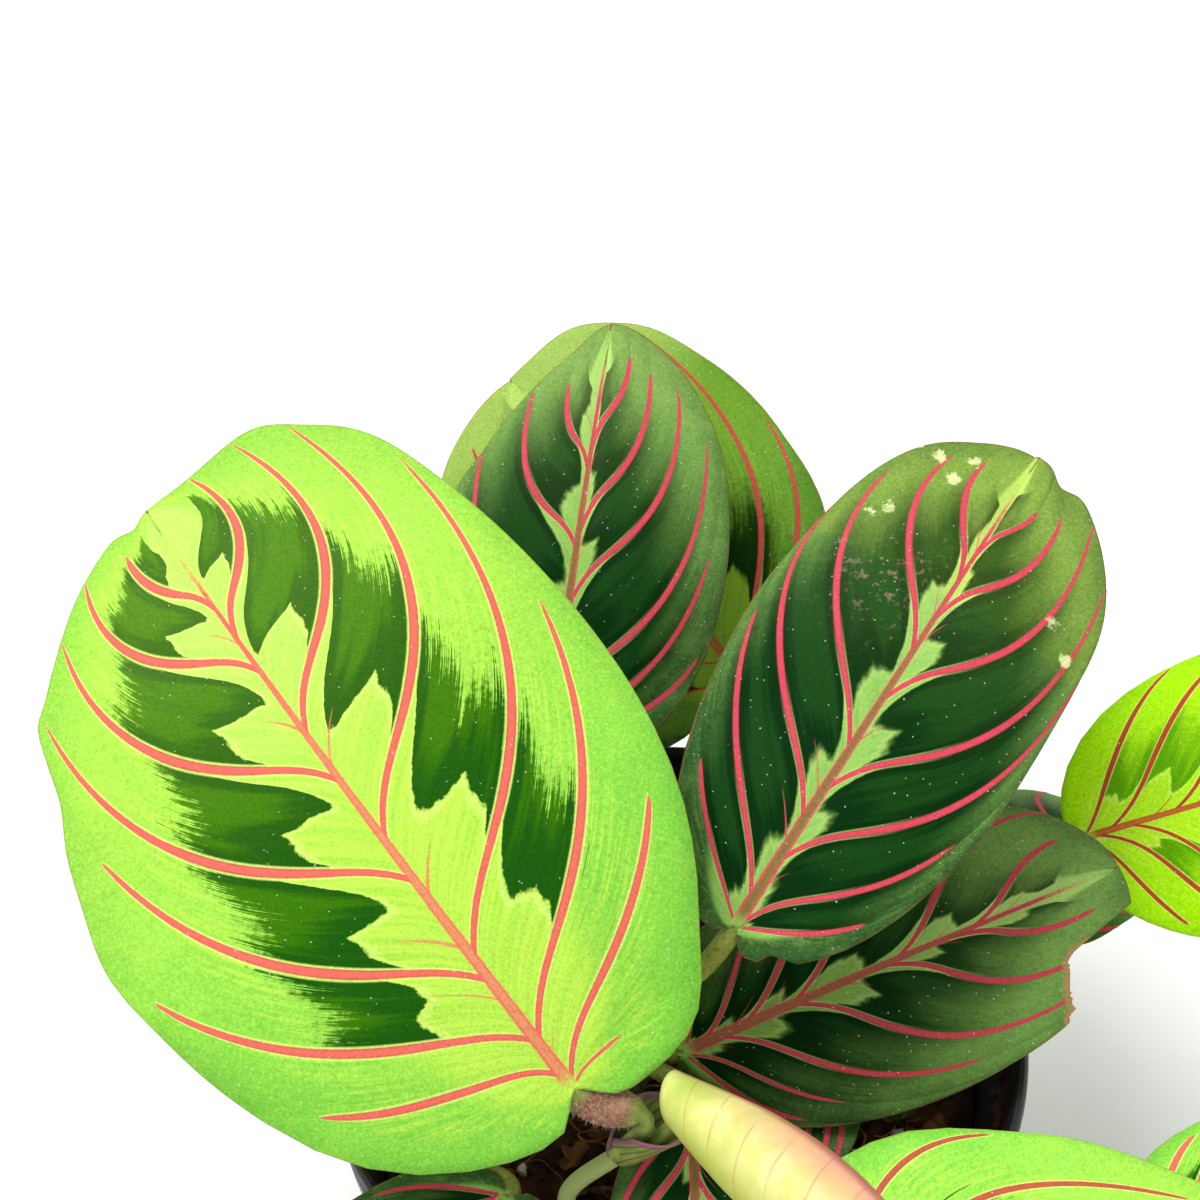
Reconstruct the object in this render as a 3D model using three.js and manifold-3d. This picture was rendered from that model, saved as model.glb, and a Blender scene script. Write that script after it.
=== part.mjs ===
// A prayer plant (maranta) in its round nursery pot. Millimetres, +Z up.
// The origin is the middle of the pot's flat floor, where the pot stands.
// The front of the plant, where its largest leaf hangs, faces -Y.
import * as THREE from "three";
import { mergeVertices } from "three/addons/utils/BufferGeometryUtils.js";
import Module from "manifold-3d";

const wasm = await Module();
wasm.setup();

// Pot
const POT_HEIGHT = 105;
const RIM_RADIUS = 62.5;
const RIM_BAND_HEIGHT = 17;
const BAND_RADIUS = 61.3;
const WALL_TOP_RADIUS = 57.9;
const WALL = 1.6;
const LIP_THICKNESS = 2.1;
const LIP_HEIGHT = 2.2;
const EDGE = 0.9;
const BASE_RADIUS = 44;
const FLOOR = 2;
const FOOT_BEVEL = 2.5;
const POT_SIDES = 32;
const DRAIN_HOLES = 6;
const DRAIN_HOLE_RADIUS = 4;
const DRAIN_CIRCLE_RADIUS = 33;
const DRAIN_SIDES = 10;

// Potting mix
const SOIL_LEVEL = 86;
const SOIL_RISE = 3;
const SOIL_RINGS = 6;
const SOIL_LUMP = 1.1;

// Gap between pieces that touch on the real plant
const GAP = 0.3;

// Leaves
const BLADE_THICKNESS = 0.9;
const BLADE_ROWS = 11;
const BLADE_COLUMNS = 3;
const ROW_CROWDING = 3.2;
const STALK_RADIUS = 1.35;
const STALK_SIDES = 5;
const STALK_STEPS = 6;
const SWELLING_RADIUS = 1.75;
const SWELLING_LENGTH = 8;
const STALK_UNDER_BLADE = 6;
const STALK_TIP_RADIUS = 0.95;
const STALK_DROP = 0.2;
const STALK_BEND = 0.4;

// Shoots: a short stem in the potting mix that ends in a sheath with a socket for each leaf stalk
const STEM_DEPTH = 14;
const STEM_RADIUS = 2.6;
const SHEATH_RADIUS = 4.9;
const SHEATH_LENGTH = 11;
const SOCKET_CIRCLE = 2.45;
const SOCKET_DEPTH = 7;
const SOCKET_RADIUS = 1.75;
const SHOOT_SIDES = 8;
const SHOOT_STEP = 6;

const COLOURS = {
  bright: 0x8fd33c,
  dark: 0x24532e,
  lime: 0x86c81e,
  furled: 0xe6e2a0,
  stem: 0x9fae62,
  soil: 0x3b2a1e,
  pot: 0x17181a,
};

// foot: where the stem enters the potting mix; top: the mouth of its sheath; turn: the bearing of socket 0.
// A stem that bends on its way also has the points that it passes.
const SHOOTS = {
  front: { foot: [-18, -43], via: [[-18, -42, 101], [-18, -40, 112], [-10, -37, 118]],
    top: [-5, -36, 125], turn: 215 },
  front_left: { foot: [-36, -30], top: [-37, -31, 104], turn: 300 },
  left: { foot: [-33, 2], top: [-35, 3, 103], turn: 180 },
  middle: { foot: [-9, -9], top: [-9, -11, 103], turn: 60 },
  back_left: { foot: [-16, 17], top: [-17, 19, 104], turn: 60 },
  back_right: { foot: [16, 38], top: [17, 40, 106], turn: 0 },
  right: { foot: [39, -11], top: [41, -13, 103], turn: 350 },
  front_right: { foot: [35, -32], top: [37, -35, 103], turn: 0 },
  front_middle: { foot: [16, -44], top: [17, -46, 102], turn: 0 },
};

// Each leaf: the blade's base and tip, its width, and how it is arched, rolled, drooped and waved.
// A pair of values is for the left and the right half, seen from the base.
const LEAVES = {
  front_large: { kind: "bright", shoot: "front", socket: 0, base: [-17, -37, 136], tip: [-86, 35, 189],
    width: 95, arch: 45, roll: 24, drape: 5, wave: 1.2, waves: 2.4, phase: 2.2, skew: [0.06, 0],
    lobe: [0.045, 0.05], blunt: [1.15, 0.55], lop: -0.02, sweep: [3, 4], rise: 0.55 },
  back_middle: { kind: "dark", shoot: "back_left", socket: 1, base: [-22, 25, 144], tip: [-11, 93, 187],
    width: 57, arch: 35, roll: -4, drape: 4, skew: [0, 0.08], blunt: [1.1, 1.2] },
  back_tall: { kind: "lime", shoot: "back_right", socket: 1, base: [15, 52, 132], tip: [-31, 101, 169],
    width: 78, arch: 30, roll: 30, drape: 4 },
  right_large: { kind: "dark", shoot: "middle", socket: 1, base: [8, -13, 144], tip: [61, 52, 187],
    width: 55, arch: 30, roll: -18, drape: 4, skew: [-0.04, 0], lobe: [0.03, 0.04], blunt: [0.9, 0.85],
    lop: 0.02, sweep: [3, 3.4] },
  right_lower: { kind: "dark", shoot: "middle", socket: 0, base: [1, -13, 109], tip: [77, 11, 129],
    width: 49, arch: 30, roll: -27, drape: 3, blunt: [1.1, 0.9] },
  right_outer: { kind: "lime", shoot: "right", socket: 0, base: [74, 21, 125], tip: [150, 41, 132],
    width: 57, arch: 30, roll: -30, drape: 4 },
  front_right: { kind: "bright", shoot: "front_middle", socket: 0, base: [24, -55, 116],
    tip: [94, -67, 120], width: 49, arch: 30, roll: -20, drape: 4 },
  front_right_outer: { kind: "bright", shoot: "front_right", socket: 0, base: [70, -50, 109],
    tip: [136, -40, 111], width: 44, arch: 30, roll: -10, drape: 3 },
  front_low: { kind: "dark", shoot: "middle", socket: 2, base: [2, -24, 111], tip: [1, -92, 99],
    width: 31, arch: 35, roll: 0, drape: 3 },
  front_left_low: { kind: "dark", shoot: "front_left", socket: 0, base: [-28, -41, 112],
    tip: [-70, -104, 98], width: 52, arch: 35, roll: 0, drape: 3 },
  front_left_under: { kind: "dark", shoot: "front_left", socket: 2, base: [-36, -16, 122],
    tip: [-84, 30, 136], width: 46, arch: 30, roll: 16, drape: 3 },
  middle_low: { kind: "dark", shoot: "right", socket: 2, base: [29, -17, 103], tip: [0, -27, 98],
    width: 28, arch: 30, roll: 0, drape: 2 },
  left_low: { kind: "lime", shoot: "left", socket: 0, base: [-47, 8, 115], tip: [-106, 38, 119],
    width: 50, arch: 35, roll: 0, drape: 3 },
  back_left_low: { kind: "dark", shoot: "left", socket: 1, base: [-40, 34, 110], tip: [-72, 102, 103],
    width: 52, arch: 35, roll: 0, drape: 3 },
  back_low: { kind: "dark", shoot: "back_left", socket: 0, base: [-8, 50, 118], tip: [-18, 122, 108],
    width: 54, arch: 35, roll: 0, drape: 3 },
  back_right_low: { kind: "bright", shoot: "back_right", socket: 0, base: [38, 48, 120],
    tip: [80, 104, 116], width: 52, arch: 35, roll: 0, drape: 3 },
  back_right_upper: { kind: "dark", shoot: "back_right", socket: 2, base: [38, 38, 132],
    tip: [67, 80, 141], width: 42, arch: 30, roll: -10, drape: 3 },
  right_low: { kind: "dark", shoot: "right", socket: 1, base: [54, 16, 110], tip: [101, 60, 102],
    width: 48, arch: 35, roll: 0, drape: 3 },
  front_right_low: { kind: "dark", shoot: "front_right", socket: 2, base: [40, -57, 108],
    tip: [60, -120, 88], width: 48, arch: 25, roll: 0, drape: 3 },
};

// The new leaf, still rolled up, that grows from the front shoot's sheath
const FURLED = {
  shoot: "front",
  socket: 1,
  base: [-1, -37, 133],
  tip: [38, -84, 146],
  rise: 4,
  radii: [1.5, 2.6, 4.4, 5.9, 6.4, 5.6, 4.1, 2.4, 0.7],
  sides: 10,
  oval: 0.1,
};

const up = new THREE.Vector3(0, 0, 1);
const radians = THREE.MathUtils.degToRad;

// A closed solid for joining and cutting, from a geometry with shared corners merged
function solid(geometry) {
  const bare = geometry.clone();
  bare.deleteAttribute("normal");
  bare.deleteAttribute("uv");
  const merged = mergeVertices(bare, 1e-4);
  const corners = Array.from(merged.index.array);
  const faces = [];
  for (let i = 0; i < corners.length; i += 3) {
    const [a, b, c] = corners.slice(i, i + 3);
    if (a !== b && b !== c && c !== a) faces.push(a, b, c);
  }
  return new wasm.Manifold(new wasm.Mesh({
    numProp: 3,
    vertProperties: Float32Array.from(merged.attributes.position.array),
    triVerts: Uint32Array.from(faces),
  }));
}

// The geometry of a joined or cut solid
function geometryOf(body) {
  const mesh = body.getMesh();
  const geometry = new THREE.BufferGeometry();
  geometry.setAttribute("position", new THREE.BufferAttribute(Float32Array.from(mesh.vertProperties), 3));
  geometry.setIndex(Array.from(mesh.triVerts));
  geometry.computeVertexNormals();
  return geometry;
}

// A round bar along a curve whose radius changes from end to end
function bar(curve, radiusAt, sides, steps) {
  const geometry = new THREE.CylinderGeometry(1, 1, 1, sides, steps);
  const frames = curve.computeFrenetFrames(steps, false);
  const position = geometry.attributes.position;
  for (let i = 0; i < position.count; i++) {
    const step = Math.round((position.getY(i) + 0.5) * steps);
    const share = step / steps;
    const onAxis = Math.hypot(position.getX(i), position.getZ(i)) < 0.5;
    const angle = Math.atan2(position.getX(i), position.getZ(i));
    const radius = onAxis ? 0 : radiusAt(share, angle);
    const point = curve.getPointAt(share)
      .addScaledVector(frames.normals[step], radius * Math.cos(angle))
      .addScaledVector(frames.binormals[step], radius * Math.sin(angle));
    position.setXYZ(i, point.x, point.y, point.z);
  }
  return geometry;
}

// A leaf's size and directions: along its chord, to its left, and out of its upper face
function frameOf(leaf) {
  const base = new THREE.Vector3(...leaf.base);
  const chord = new THREE.Vector3(...leaf.tip).sub(base);
  const span = chord.length();
  const forward = chord.clone().normalize();
  const level = up.clone().addScaledVector(forward, -forward.z).normalize();
  const side = new THREE.Vector3().crossVectors(level, forward);
  const roll = radians(leaf.roll);
  const normal = level.multiplyScalar(Math.cos(roll)).addScaledVector(side, Math.sin(roll));
  const left = new THREE.Vector3().crossVectors(normal, forward);
  const bend = radians(leaf.arch);
  const length = (span * bend) / 2 / Math.sin(bend / 2);
  return { base, forward, left, normal, bend, length };
}

// The value for one half of a leaf
function half(value, side) {
  return Array.isArray(value) ? value[side > 0 ? 0 : 1] : value;
}

// A point of the margin of the flat leaf, share 0 at the base notch and 1 at the tip
function margin(leaf, length, share, side) {
  const turn = Math.PI * share;
  const lobe = half(leaf.lobe ?? 0.04, side) * length;
  const x = -lobe + ((length + lobe) * (1 - Math.cos(turn))) / 2 + lobe * Math.exp(-((turn / 0.075) ** 2));
  const blunt = 1 + (half(leaf.blunt ?? 1, side) - 1) * Math.sqrt(Math.max(-Math.cos(turn), 0));
  const widest = (leaf.width / 2) * (1 + side * (leaf.lop ?? 0));
  const skew = 1 + half(leaf.skew ?? 0, side) * Math.cos(turn);
  return [x, side * widest * Math.abs(Math.sin(turn)) ** blunt * skew];
}

// A point of the flat leaf on the side vein that leaves the midrib at share along and ends at the margin
function onVein(leaf, length, along, across, side) {
  const share = along ** (1 / half(leaf.sweep ?? [3, 3.5], side));
  const [endX, endY] = margin(leaf, length, share, side);
  const startX = length * along;
  const bendX = startX + 0.3 * (endX - startX);
  const bendY = endY * (0.6 + 1.3 * share ** 3);
  const near = 1 - across;
  const x = near * near * startX + 2 * near * across * bendX + across * across * endX;
  const y = 2 * near * across * bendY + across * across * endY;
  return [x, y];
}

// Where a point of the flat leaf lies once the leaf is arched, drooped at its sides and waved
function onLeaf(leaf, frame, x, y) {
  const { base, forward, left, normal, bend, length } = frame;
  const drape = leaf.drape ?? 3;
  const radius = length / bend;
  const angle = bend / 2 - (bend * x) / length;
  const out = Math.min(Math.abs(y) / (leaf.width / 2), 2);
  const ripple = 2 * Math.PI * (leaf.waves ?? 2.6) * (x / length) + (leaf.phase ?? 0) + (y > 0 ? 0 : 2.1);
  const lift = -drape * out ** 2 + (leaf.wave ?? 1) * out ** 3 * Math.sin(ripple);
  const ahead = radius * (Math.sin(bend / 2) - Math.sin(angle)) - lift * Math.sin(angle);
  const above = radius * (Math.cos(angle) - Math.cos(bend / 2)) + lift * Math.cos(angle);
  const aside = y * (1 - (0.1 * out ** 2 * drape) / 6);
  return base.clone()
    .addScaledVector(forward, ahead)
    .addScaledVector(normal, above)
    .addScaledVector(left, aside);
}

// A blade: the same triangles above and below, and a thin wall round the margin
function blade(leaf, frame) {
  const { length } = frame;
  const middle = BLADE_COLUMNS;
  const acrossCount = 2 * BLADE_COLUMNS + 1;
  const positions = [];
  const ids = [];
  const step = 0.5;
  for (let row = 0; row <= BLADE_ROWS; row++) {
    const along = (row / BLADE_ROWS) ** ROW_CROWDING;
    const end = row === 0 || row === BLADE_ROWS;
    ids.push([]);
    for (let column = 0; column < acrossCount; column++) {
      if (end && column > 0) {
        ids[row].push(ids[row][0]);
        continue;
      }
      const side = column >= middle ? 1 : -1;
      const across = Math.abs(column - middle) / BLADE_COLUMNS;
      const [x, y] = end ? [length * along, 0] : onVein(leaf, length, along, across, side);
      const point = onLeaf(leaf, frame, x, y);
      const ahead = onLeaf(leaf, frame, x + step, y).sub(onLeaf(leaf, frame, x - step, y));
      const aside = onLeaf(leaf, frame, x, y + step).sub(onLeaf(leaf, frame, x, y - step));
      const out = ahead.cross(aside).normalize();
      ids[row].push(positions.length / 6);
      const top = point.clone().addScaledVector(out, BLADE_THICKNESS / 2);
      const bottom = point.clone().addScaledVector(out, -BLADE_THICKNESS / 2);
      positions.push(...top.toArray(), ...bottom.toArray());
    }
  }
  const faces = [];
  const triangle = (a, b, c) => {
    if (a !== b && b !== c && c !== a) faces.push(a, b, c);
  };
  const above = (row, column) => 2 * ids[row][column];
  const below = (row, column) => 2 * ids[row][column] + 1;
  for (let row = 0; row < BLADE_ROWS; row++) {
    for (let column = 0; column < acrossCount - 1; column++) {
      const cell = [[row, column], [row + 1, column], [row + 1, column + 1], [row, column + 1]];
      const [a, b, c, d] = cell.map((corner) => above(...corner));
      const [e, f, g, h] = cell.map((corner) => below(...corner));
      triangle(a, b, c);
      triangle(a, c, d);
      triangle(e, g, f);
      triangle(e, h, g);
    }
    for (const [column, turned] of [[acrossCount - 1, false], [0, true]]) {
      const wall = [above(row, column), above(row + 1, column), below(row + 1, column), below(row, column)];
      if (turned) wall.reverse();
      triangle(wall[0], wall[1], wall[2]);
      triangle(wall[0], wall[2], wall[3]);
    }
  }
  const geometry = new THREE.BufferGeometry();
  geometry.setAttribute("position", new THREE.BufferAttribute(Float32Array.from(positions), 3));
  geometry.setIndex(faces);
  return geometry;
}

// A shoot's route from its foot in the potting mix to the mouth of its sheath
function shootRoute(shoot) {
  const foot = new THREE.Vector3(...shoot.foot, SOIL_LEVEL);
  const top = new THREE.Vector3(...shoot.top);
  const via = (shoot.via ?? []).map((point) => new THREE.Vector3(...point));
  const first = via[0] ?? top;
  const bottom = foot.clone().addScaledVector(first.clone().sub(foot).normalize(), -STEM_DEPTH);
  return new THREE.CatmullRomCurve3([bottom, foot, ...via, top], false, "centripetal");
}

// The direction in which a shoot's sheath opens, and the mouth and bottom of one of its sockets
function socketOf(shoot, index) {
  const axis = shootRoute(shoot).getTangent(1);
  const bearing = radians(shoot.turn + 120 * index);
  const aside = new THREE.Vector3(Math.cos(bearing), Math.sin(bearing), 0).multiplyScalar(SOCKET_CIRCLE);
  const mouth = new THREE.Vector3(...shoot.top).add(aside);
  return { axis, mouth, bottom: mouth.clone().addScaledVector(axis, -SOCKET_DEPTH) };
}

// The route of a leaf stalk: straight out of its socket, in one bend to the blade and a little way under it
function stalkRoute(leaf, start, frame) {
  const { axis, mouth, bottom } = socketOf(SHOOTS[leaf.shoot], leaf.socket);
  const lead = frame.forward.clone().multiplyScalar(Math.cos(frame.bend / 2))
    .addScaledVector(frame.normal, Math.sin(frame.bend / 2));
  const reach = start.distanceTo(mouth);
  const below = start.clone().addScaledVector(frame.normal, -STALK_DROP);
  const route = new THREE.CurvePath();
  const foot = bottom.clone().addScaledVector(axis, 2 * GAP);
  route.add(new THREE.LineCurve3(foot, mouth));
  route.add(new THREE.CubicBezierCurve3(
    mouth,
    mouth.clone().addScaledVector(axis, (leaf.rise ?? STALK_BEND) * reach),
    below.clone().addScaledVector(lead, -STALK_BEND * reach),
    below,
  ));
  const points = [foot, mouth];
  for (let i = 1; i <= STALK_STEPS; i++) points.push(route.curves[1].getPoint(i / STALK_STEPS));
  points.push(below.clone().addScaledVector(lead, STALK_UNDER_BLADE));
  return new THREE.CatmullRomCurve3(points, false, "centripetal");
}

// One leaf: its blade, the swelling at the blade's base and the stalk, grown as one piece
function leafGeometry(leaf) {
  const frame = frameOf(leaf);
  const route = stalkRoute(leaf, frame.base, frame);
  const total = route.getLength();
  const bladeFrom = 1 - STALK_UNDER_BLADE / total;
  const swellingFrom = bladeFrom - SWELLING_LENGTH / total;
  const close = 0.02;
  const radiusAt = (share) => {
    if (share > bladeFrom + close) return STALK_TIP_RADIUS;
    return share > swellingFrom ? SWELLING_RADIUS : STALK_RADIUS;
  };
  const stalk = bar(route, radiusAt, STALK_SIDES, STALK_STEPS + 2);
  return geometryOf(solid(blade(leaf, frame)).add(solid(stalk)));
}

// The new leaf, rolled into a slim spindle, on its own short stalk
function furledGeometry() {
  const start = new THREE.Vector3(...FURLED.base);
  const end = new THREE.Vector3(...FURLED.tip);
  const { mouth, bottom, axis } = socketOf(SHOOTS[FURLED.shoot], FURLED.socket);
  const middle = start.clone().lerp(end, 0.5);
  middle.z += FURLED.rise;
  const curve = new THREE.CatmullRomCurve3([start, middle, end]);
  const last = FURLED.radii.length - 1;
  const radiusAt = (share, angle) => {
    const radius = FURLED.radii[Math.round(share * last)];
    return radius * (1 + FURLED.oval * Math.cos(angle));
  };
  const spindle = bar(curve, radiusAt, FURLED.sides, last);
  const foot = bottom.clone().addScaledVector(axis, 2 * GAP);
  const stalkCurve = new THREE.CatmullRomCurve3([foot, mouth, mouth.clone().lerp(start, 0.5), start,
    start.clone().lerp(middle, 0.2)], false, "centripetal");
  const stalk = bar(stalkCurve, () => STALK_RADIUS, STALK_SIDES, 6);
  return geometryOf(solid(spindle).add(solid(stalk)));
}

// A straight round peg between two points, for cutting a hole
function peg(from, to, radius, sides) {
  return solid(bar(new THREE.LineCurve3(from, to), () => radius, sides, 1));
}

// A shoot: stem and sheath in one, with a socket cut for each stalk that stands in it
function shootGeometry(shoot, sockets) {
  const route = shootRoute(shoot);
  const sheathFrom = 1 - SHEATH_LENGTH / route.getLength();
  const radiusAt = (share) => {
    const rise = THREE.MathUtils.clamp((share - sheathFrom) / (1 - sheathFrom), 0, 1);
    return STEM_RADIUS + (SHEATH_RADIUS - STEM_RADIUS) * Math.sqrt(rise);
  };
  const steps = Math.round(route.getLength() / SHOOT_STEP);
  let body = solid(bar(route, radiusAt, SHOOT_SIDES, steps));
  for (const index of sockets) {
    const { mouth, bottom, axis } = socketOf(shoot, index);
    const beyond = mouth.clone().addScaledVector(axis, SOCKET_DEPTH);
    body = body.subtract(peg(bottom, beyond, SOCKET_RADIUS, SHOOT_SIDES));
  }
  return geometryOf(body);
}

// The pot's inner wall radius at a height
function innerRadius(z) {
  const wallTop = POT_HEIGHT - RIM_BAND_HEIGHT;
  const share = THREE.MathUtils.clamp((z - FLOOR) / (wallTop - FLOOR), 0, 1);
  return THREE.MathUtils.lerp(BASE_RADIUS, WALL_TOP_RADIUS, share) - WALL;
}

// The pot: a turned tapered cup with a flared rim band, and drain holes round its floor
function potGeometry() {
  const wallTop = POT_HEIGHT - RIM_BAND_HEIGHT;
  const bandInner = BAND_RADIUS - WALL;
  const lipInner = RIM_RADIUS - LIP_THICKNESS;
  const profile = [
    [0, 0], [BASE_RADIUS - FOOT_BEVEL, 0], [BASE_RADIUS, FOOT_BEVEL], [WALL_TOP_RADIUS, wallTop],
    [BAND_RADIUS - EDGE, wallTop + EDGE], [BAND_RADIUS, wallTop + 2 * EDGE],
    [RIM_RADIUS - EDGE, POT_HEIGHT - LIP_HEIGHT - EDGE], [RIM_RADIUS, POT_HEIGHT - LIP_HEIGHT],
    [RIM_RADIUS, POT_HEIGHT - EDGE], [RIM_RADIUS - EDGE, POT_HEIGHT], [lipInner, POT_HEIGHT - EDGE],
    [bandInner, wallTop + 2 * EDGE + WALL], [innerRadius(wallTop), wallTop - EDGE],
    [innerRadius(FLOOR), FLOOR], [0, FLOOR],
  ].map(([x, y]) => new THREE.Vector2(x, y));
  let body = solid(new THREE.LatheGeometry(profile, POT_SIDES).rotateX(Math.PI / 2));
  for (let i = 0; i < DRAIN_HOLES; i++) {
    const bearing = (2 * Math.PI * i) / DRAIN_HOLES;
    const x = DRAIN_CIRCLE_RADIUS * Math.cos(bearing);
    const y = DRAIN_CIRCLE_RADIUS * Math.sin(bearing);
    const low = new THREE.Vector3(x, y, -1);
    const high = new THREE.Vector3(x, y, FLOOR + 1);
    body = body.subtract(peg(low, high, DRAIN_HOLE_RADIUS, DRAIN_SIDES));
  }
  return geometryOf(body);
}

// The height of the potting mix: a slight mound with soft lumps
function soilHeight(x, y) {
  const out = Math.hypot(x, y) / innerRadius(SOIL_LEVEL);
  const mound = SOIL_RISE * (1 - out * out) - 1;
  const lumps = Math.sin(0.31 * x + 1.3) * Math.sin(0.27 * y + 0.4) + 0.6 * Math.sin(0.55 * x - 0.43 * y);
  return SOIL_LEVEL + mound + SOIL_LUMP * lumps;
}

// The potting mix: it fills the pot to its level, with a plain hole for each stem
function soilGeometry() {
  const top = innerRadius(SOIL_LEVEL) - GAP;
  const low = FLOOR + GAP;
  const profile = [[0, low], [innerRadius(low) - GAP, low]];
  for (let ring = SOIL_RINGS; ring >= 1; ring--) profile.push([(top * ring) / SOIL_RINGS, SOIL_LEVEL]);
  profile.push([0, SOIL_LEVEL]);
  const shape = profile.map(([x, y]) => new THREE.Vector2(x, y));
  const geometry = new THREE.LatheGeometry(shape, POT_SIDES).rotateX(Math.PI / 2);
  const position = geometry.attributes.position;
  for (let i = 0; i < position.count; i++) {
    if (position.getZ(i) < SOIL_LEVEL - 1) continue;
    position.setZ(i, soilHeight(position.getX(i), position.getY(i)));
  }
  let body = solid(geometry);
  for (const shoot of Object.values(SHOOTS)) {
    const route = shootRoute(shoot);
    const bottom = route.getPointAt(0).addScaledVector(route.getTangentAt(0), -GAP);
    const beyond = new THREE.Vector3(...shoot.foot, SOIL_LEVEL);
    beyond.addScaledVector(beyond.clone().sub(bottom).normalize(), SOIL_RISE + 3 * SOIL_LUMP);
    body = body.subtract(peg(bottom, beyond, STEM_RADIUS + 0.35, SHOOT_SIDES));
  }
  return geometryOf(body);
}

const plant = new THREE.Group();

// Adds one named piece in its colour
function add(name, geometry, colour, roughness) {
  const material = new THREE.MeshStandardMaterial({ color: colour, roughness, metalness: 0 });
  const mesh = new THREE.Mesh(geometry, material);
  mesh.name = name;
  plant.add(mesh);
}

add("pot", potGeometry(), COLOURS.pot, 0.4);
add("soil", soilGeometry(), COLOURS.soil, 0.95);
for (const [name, shoot] of Object.entries(SHOOTS)) {
  const sockets = Object.values(LEAVES).filter((leaf) => leaf.shoot === name).map((leaf) => leaf.socket);
  if (FURLED.shoot === name) sockets.push(FURLED.socket);
  add(`shoot_${name}`, shootGeometry(shoot, sockets), COLOURS.stem, 0.6);
}
for (const [name, leaf] of Object.entries(LEAVES)) {
  add(`leaf_${name}`, leafGeometry(leaf), COLOURS[leaf.kind], 0.45);
}
add("leaf_furled", furledGeometry(), COLOURS.furled, 0.5);

export default plant;
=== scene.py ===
"""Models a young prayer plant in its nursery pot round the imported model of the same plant."""

import math
import random
from types import SimpleNamespace

import bmesh
import bpy
import numpy as np
from bpy.props import FloatProperty, FloatVectorProperty, PointerProperty
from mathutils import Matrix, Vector, noise


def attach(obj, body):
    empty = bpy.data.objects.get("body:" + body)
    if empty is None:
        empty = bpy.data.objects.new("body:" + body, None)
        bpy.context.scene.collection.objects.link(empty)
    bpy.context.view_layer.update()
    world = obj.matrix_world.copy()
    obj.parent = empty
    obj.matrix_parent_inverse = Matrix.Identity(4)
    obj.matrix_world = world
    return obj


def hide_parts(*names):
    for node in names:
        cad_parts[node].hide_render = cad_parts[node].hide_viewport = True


bl_info = {
    "name": "Potted Prayer Plant",
    "version": (1, 0, 0),
    "blender": (4, 5, 0),
    "location": "3D View > Sidebar > Prayer Plant",
    "description": "Models a prayer plant with marked leaves in a black nursery pot",
    "category": "Add Mesh",
}

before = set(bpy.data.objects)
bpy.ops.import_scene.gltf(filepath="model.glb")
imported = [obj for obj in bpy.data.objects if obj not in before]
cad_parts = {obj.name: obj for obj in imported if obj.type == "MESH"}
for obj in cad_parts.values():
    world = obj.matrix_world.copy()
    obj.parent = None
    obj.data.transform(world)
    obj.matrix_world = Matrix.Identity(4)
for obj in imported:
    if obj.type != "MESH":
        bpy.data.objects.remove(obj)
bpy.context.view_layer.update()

# Lengths below are in millimetres unless a name says otherwise
MM = 0.001
SEED = 7

# The pot's profile as radius and height, from the middle of its underside round the rim to its inner floor
POT_PROFILE = (
    (0.02, 0.9), (20, 0.9), (36, 0.9), (37.2, 0), (41.5, 0), (43.1, 0.6), (44.0, 2.2), (46.4, 17.0),
    (49.0, 33.0), (51.6, 49.0), (54.3, 66.0), (56.6, 80.0), (57.8, 87.4), (58.2, 88.2), (60.2, 88.7),
    (61.0, 89.2), (61.3, 90.2), (61.35, 95.0), (61.7, 95.5), (61.75, 96.6), (61.4, 97.1), (61.5, 101.6),
    (61.8, 102.2), (62.3, 102.6), (62.5, 103.3), (62.4, 104.2), (62.1, 104.75), (61.6, 105.0), (60.9, 104.8),
    (60.45, 104.1), (60.3, 102.8), (59.8, 91.8), (59.3, 90.9), (56.9, 88.0), (56.3, 86.8), (54.8, 77.6),
    (50.7, 52.0), (46.6, 26.0), (42.9, 3.2), (41.9, 2.1), (30, 2.0), (15, 2.0), (0.02, 2.0))
POT_SIDES = 144
DRAIN_HOLES = 6
DRAIN_RADIUS = 4.0
DRAIN_CIRCLE = 33.0

# Dried potting mix sticks to the pot within this radius and above this level
POT_INSIDE = 60.9
PEAT_LEVEL = 89.2

# Potting mix: its level at the wall, how far it rises to the middle and how uneven it is, and its foot
SOIL_LEVEL = 86.0
SOIL_RISE = 3.0
SOIL_LUMP = 1.1
SOIL_RADIUS = 55.7
SOIL_FOOT_RADIUS = 42.0
SOIL_FOOT = 2.3
SOIL_SECTORS = 200
SOIL_RINGS = 62

# Shoots: stems, sheaths and the places where leaf stalks stand in them
STEM_RADIUS = 2.1
STEM_DEPTH = 10.0
JOINT_RISE = 0.35
JOINT_WIDTH = 1.1
JOINT_PLACES = (16.0, 24.0)
SHEATH_RADIUS = 4.7
SHEATH_LENGTH = 14.0
SHEATH_WALL = 0.4
SHEATH_ROWS = 22
SHEATH_COLUMNS = 34
SOCKET_CIRCLE = 2.45
SOCKET_DEPTH = 7.0

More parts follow.
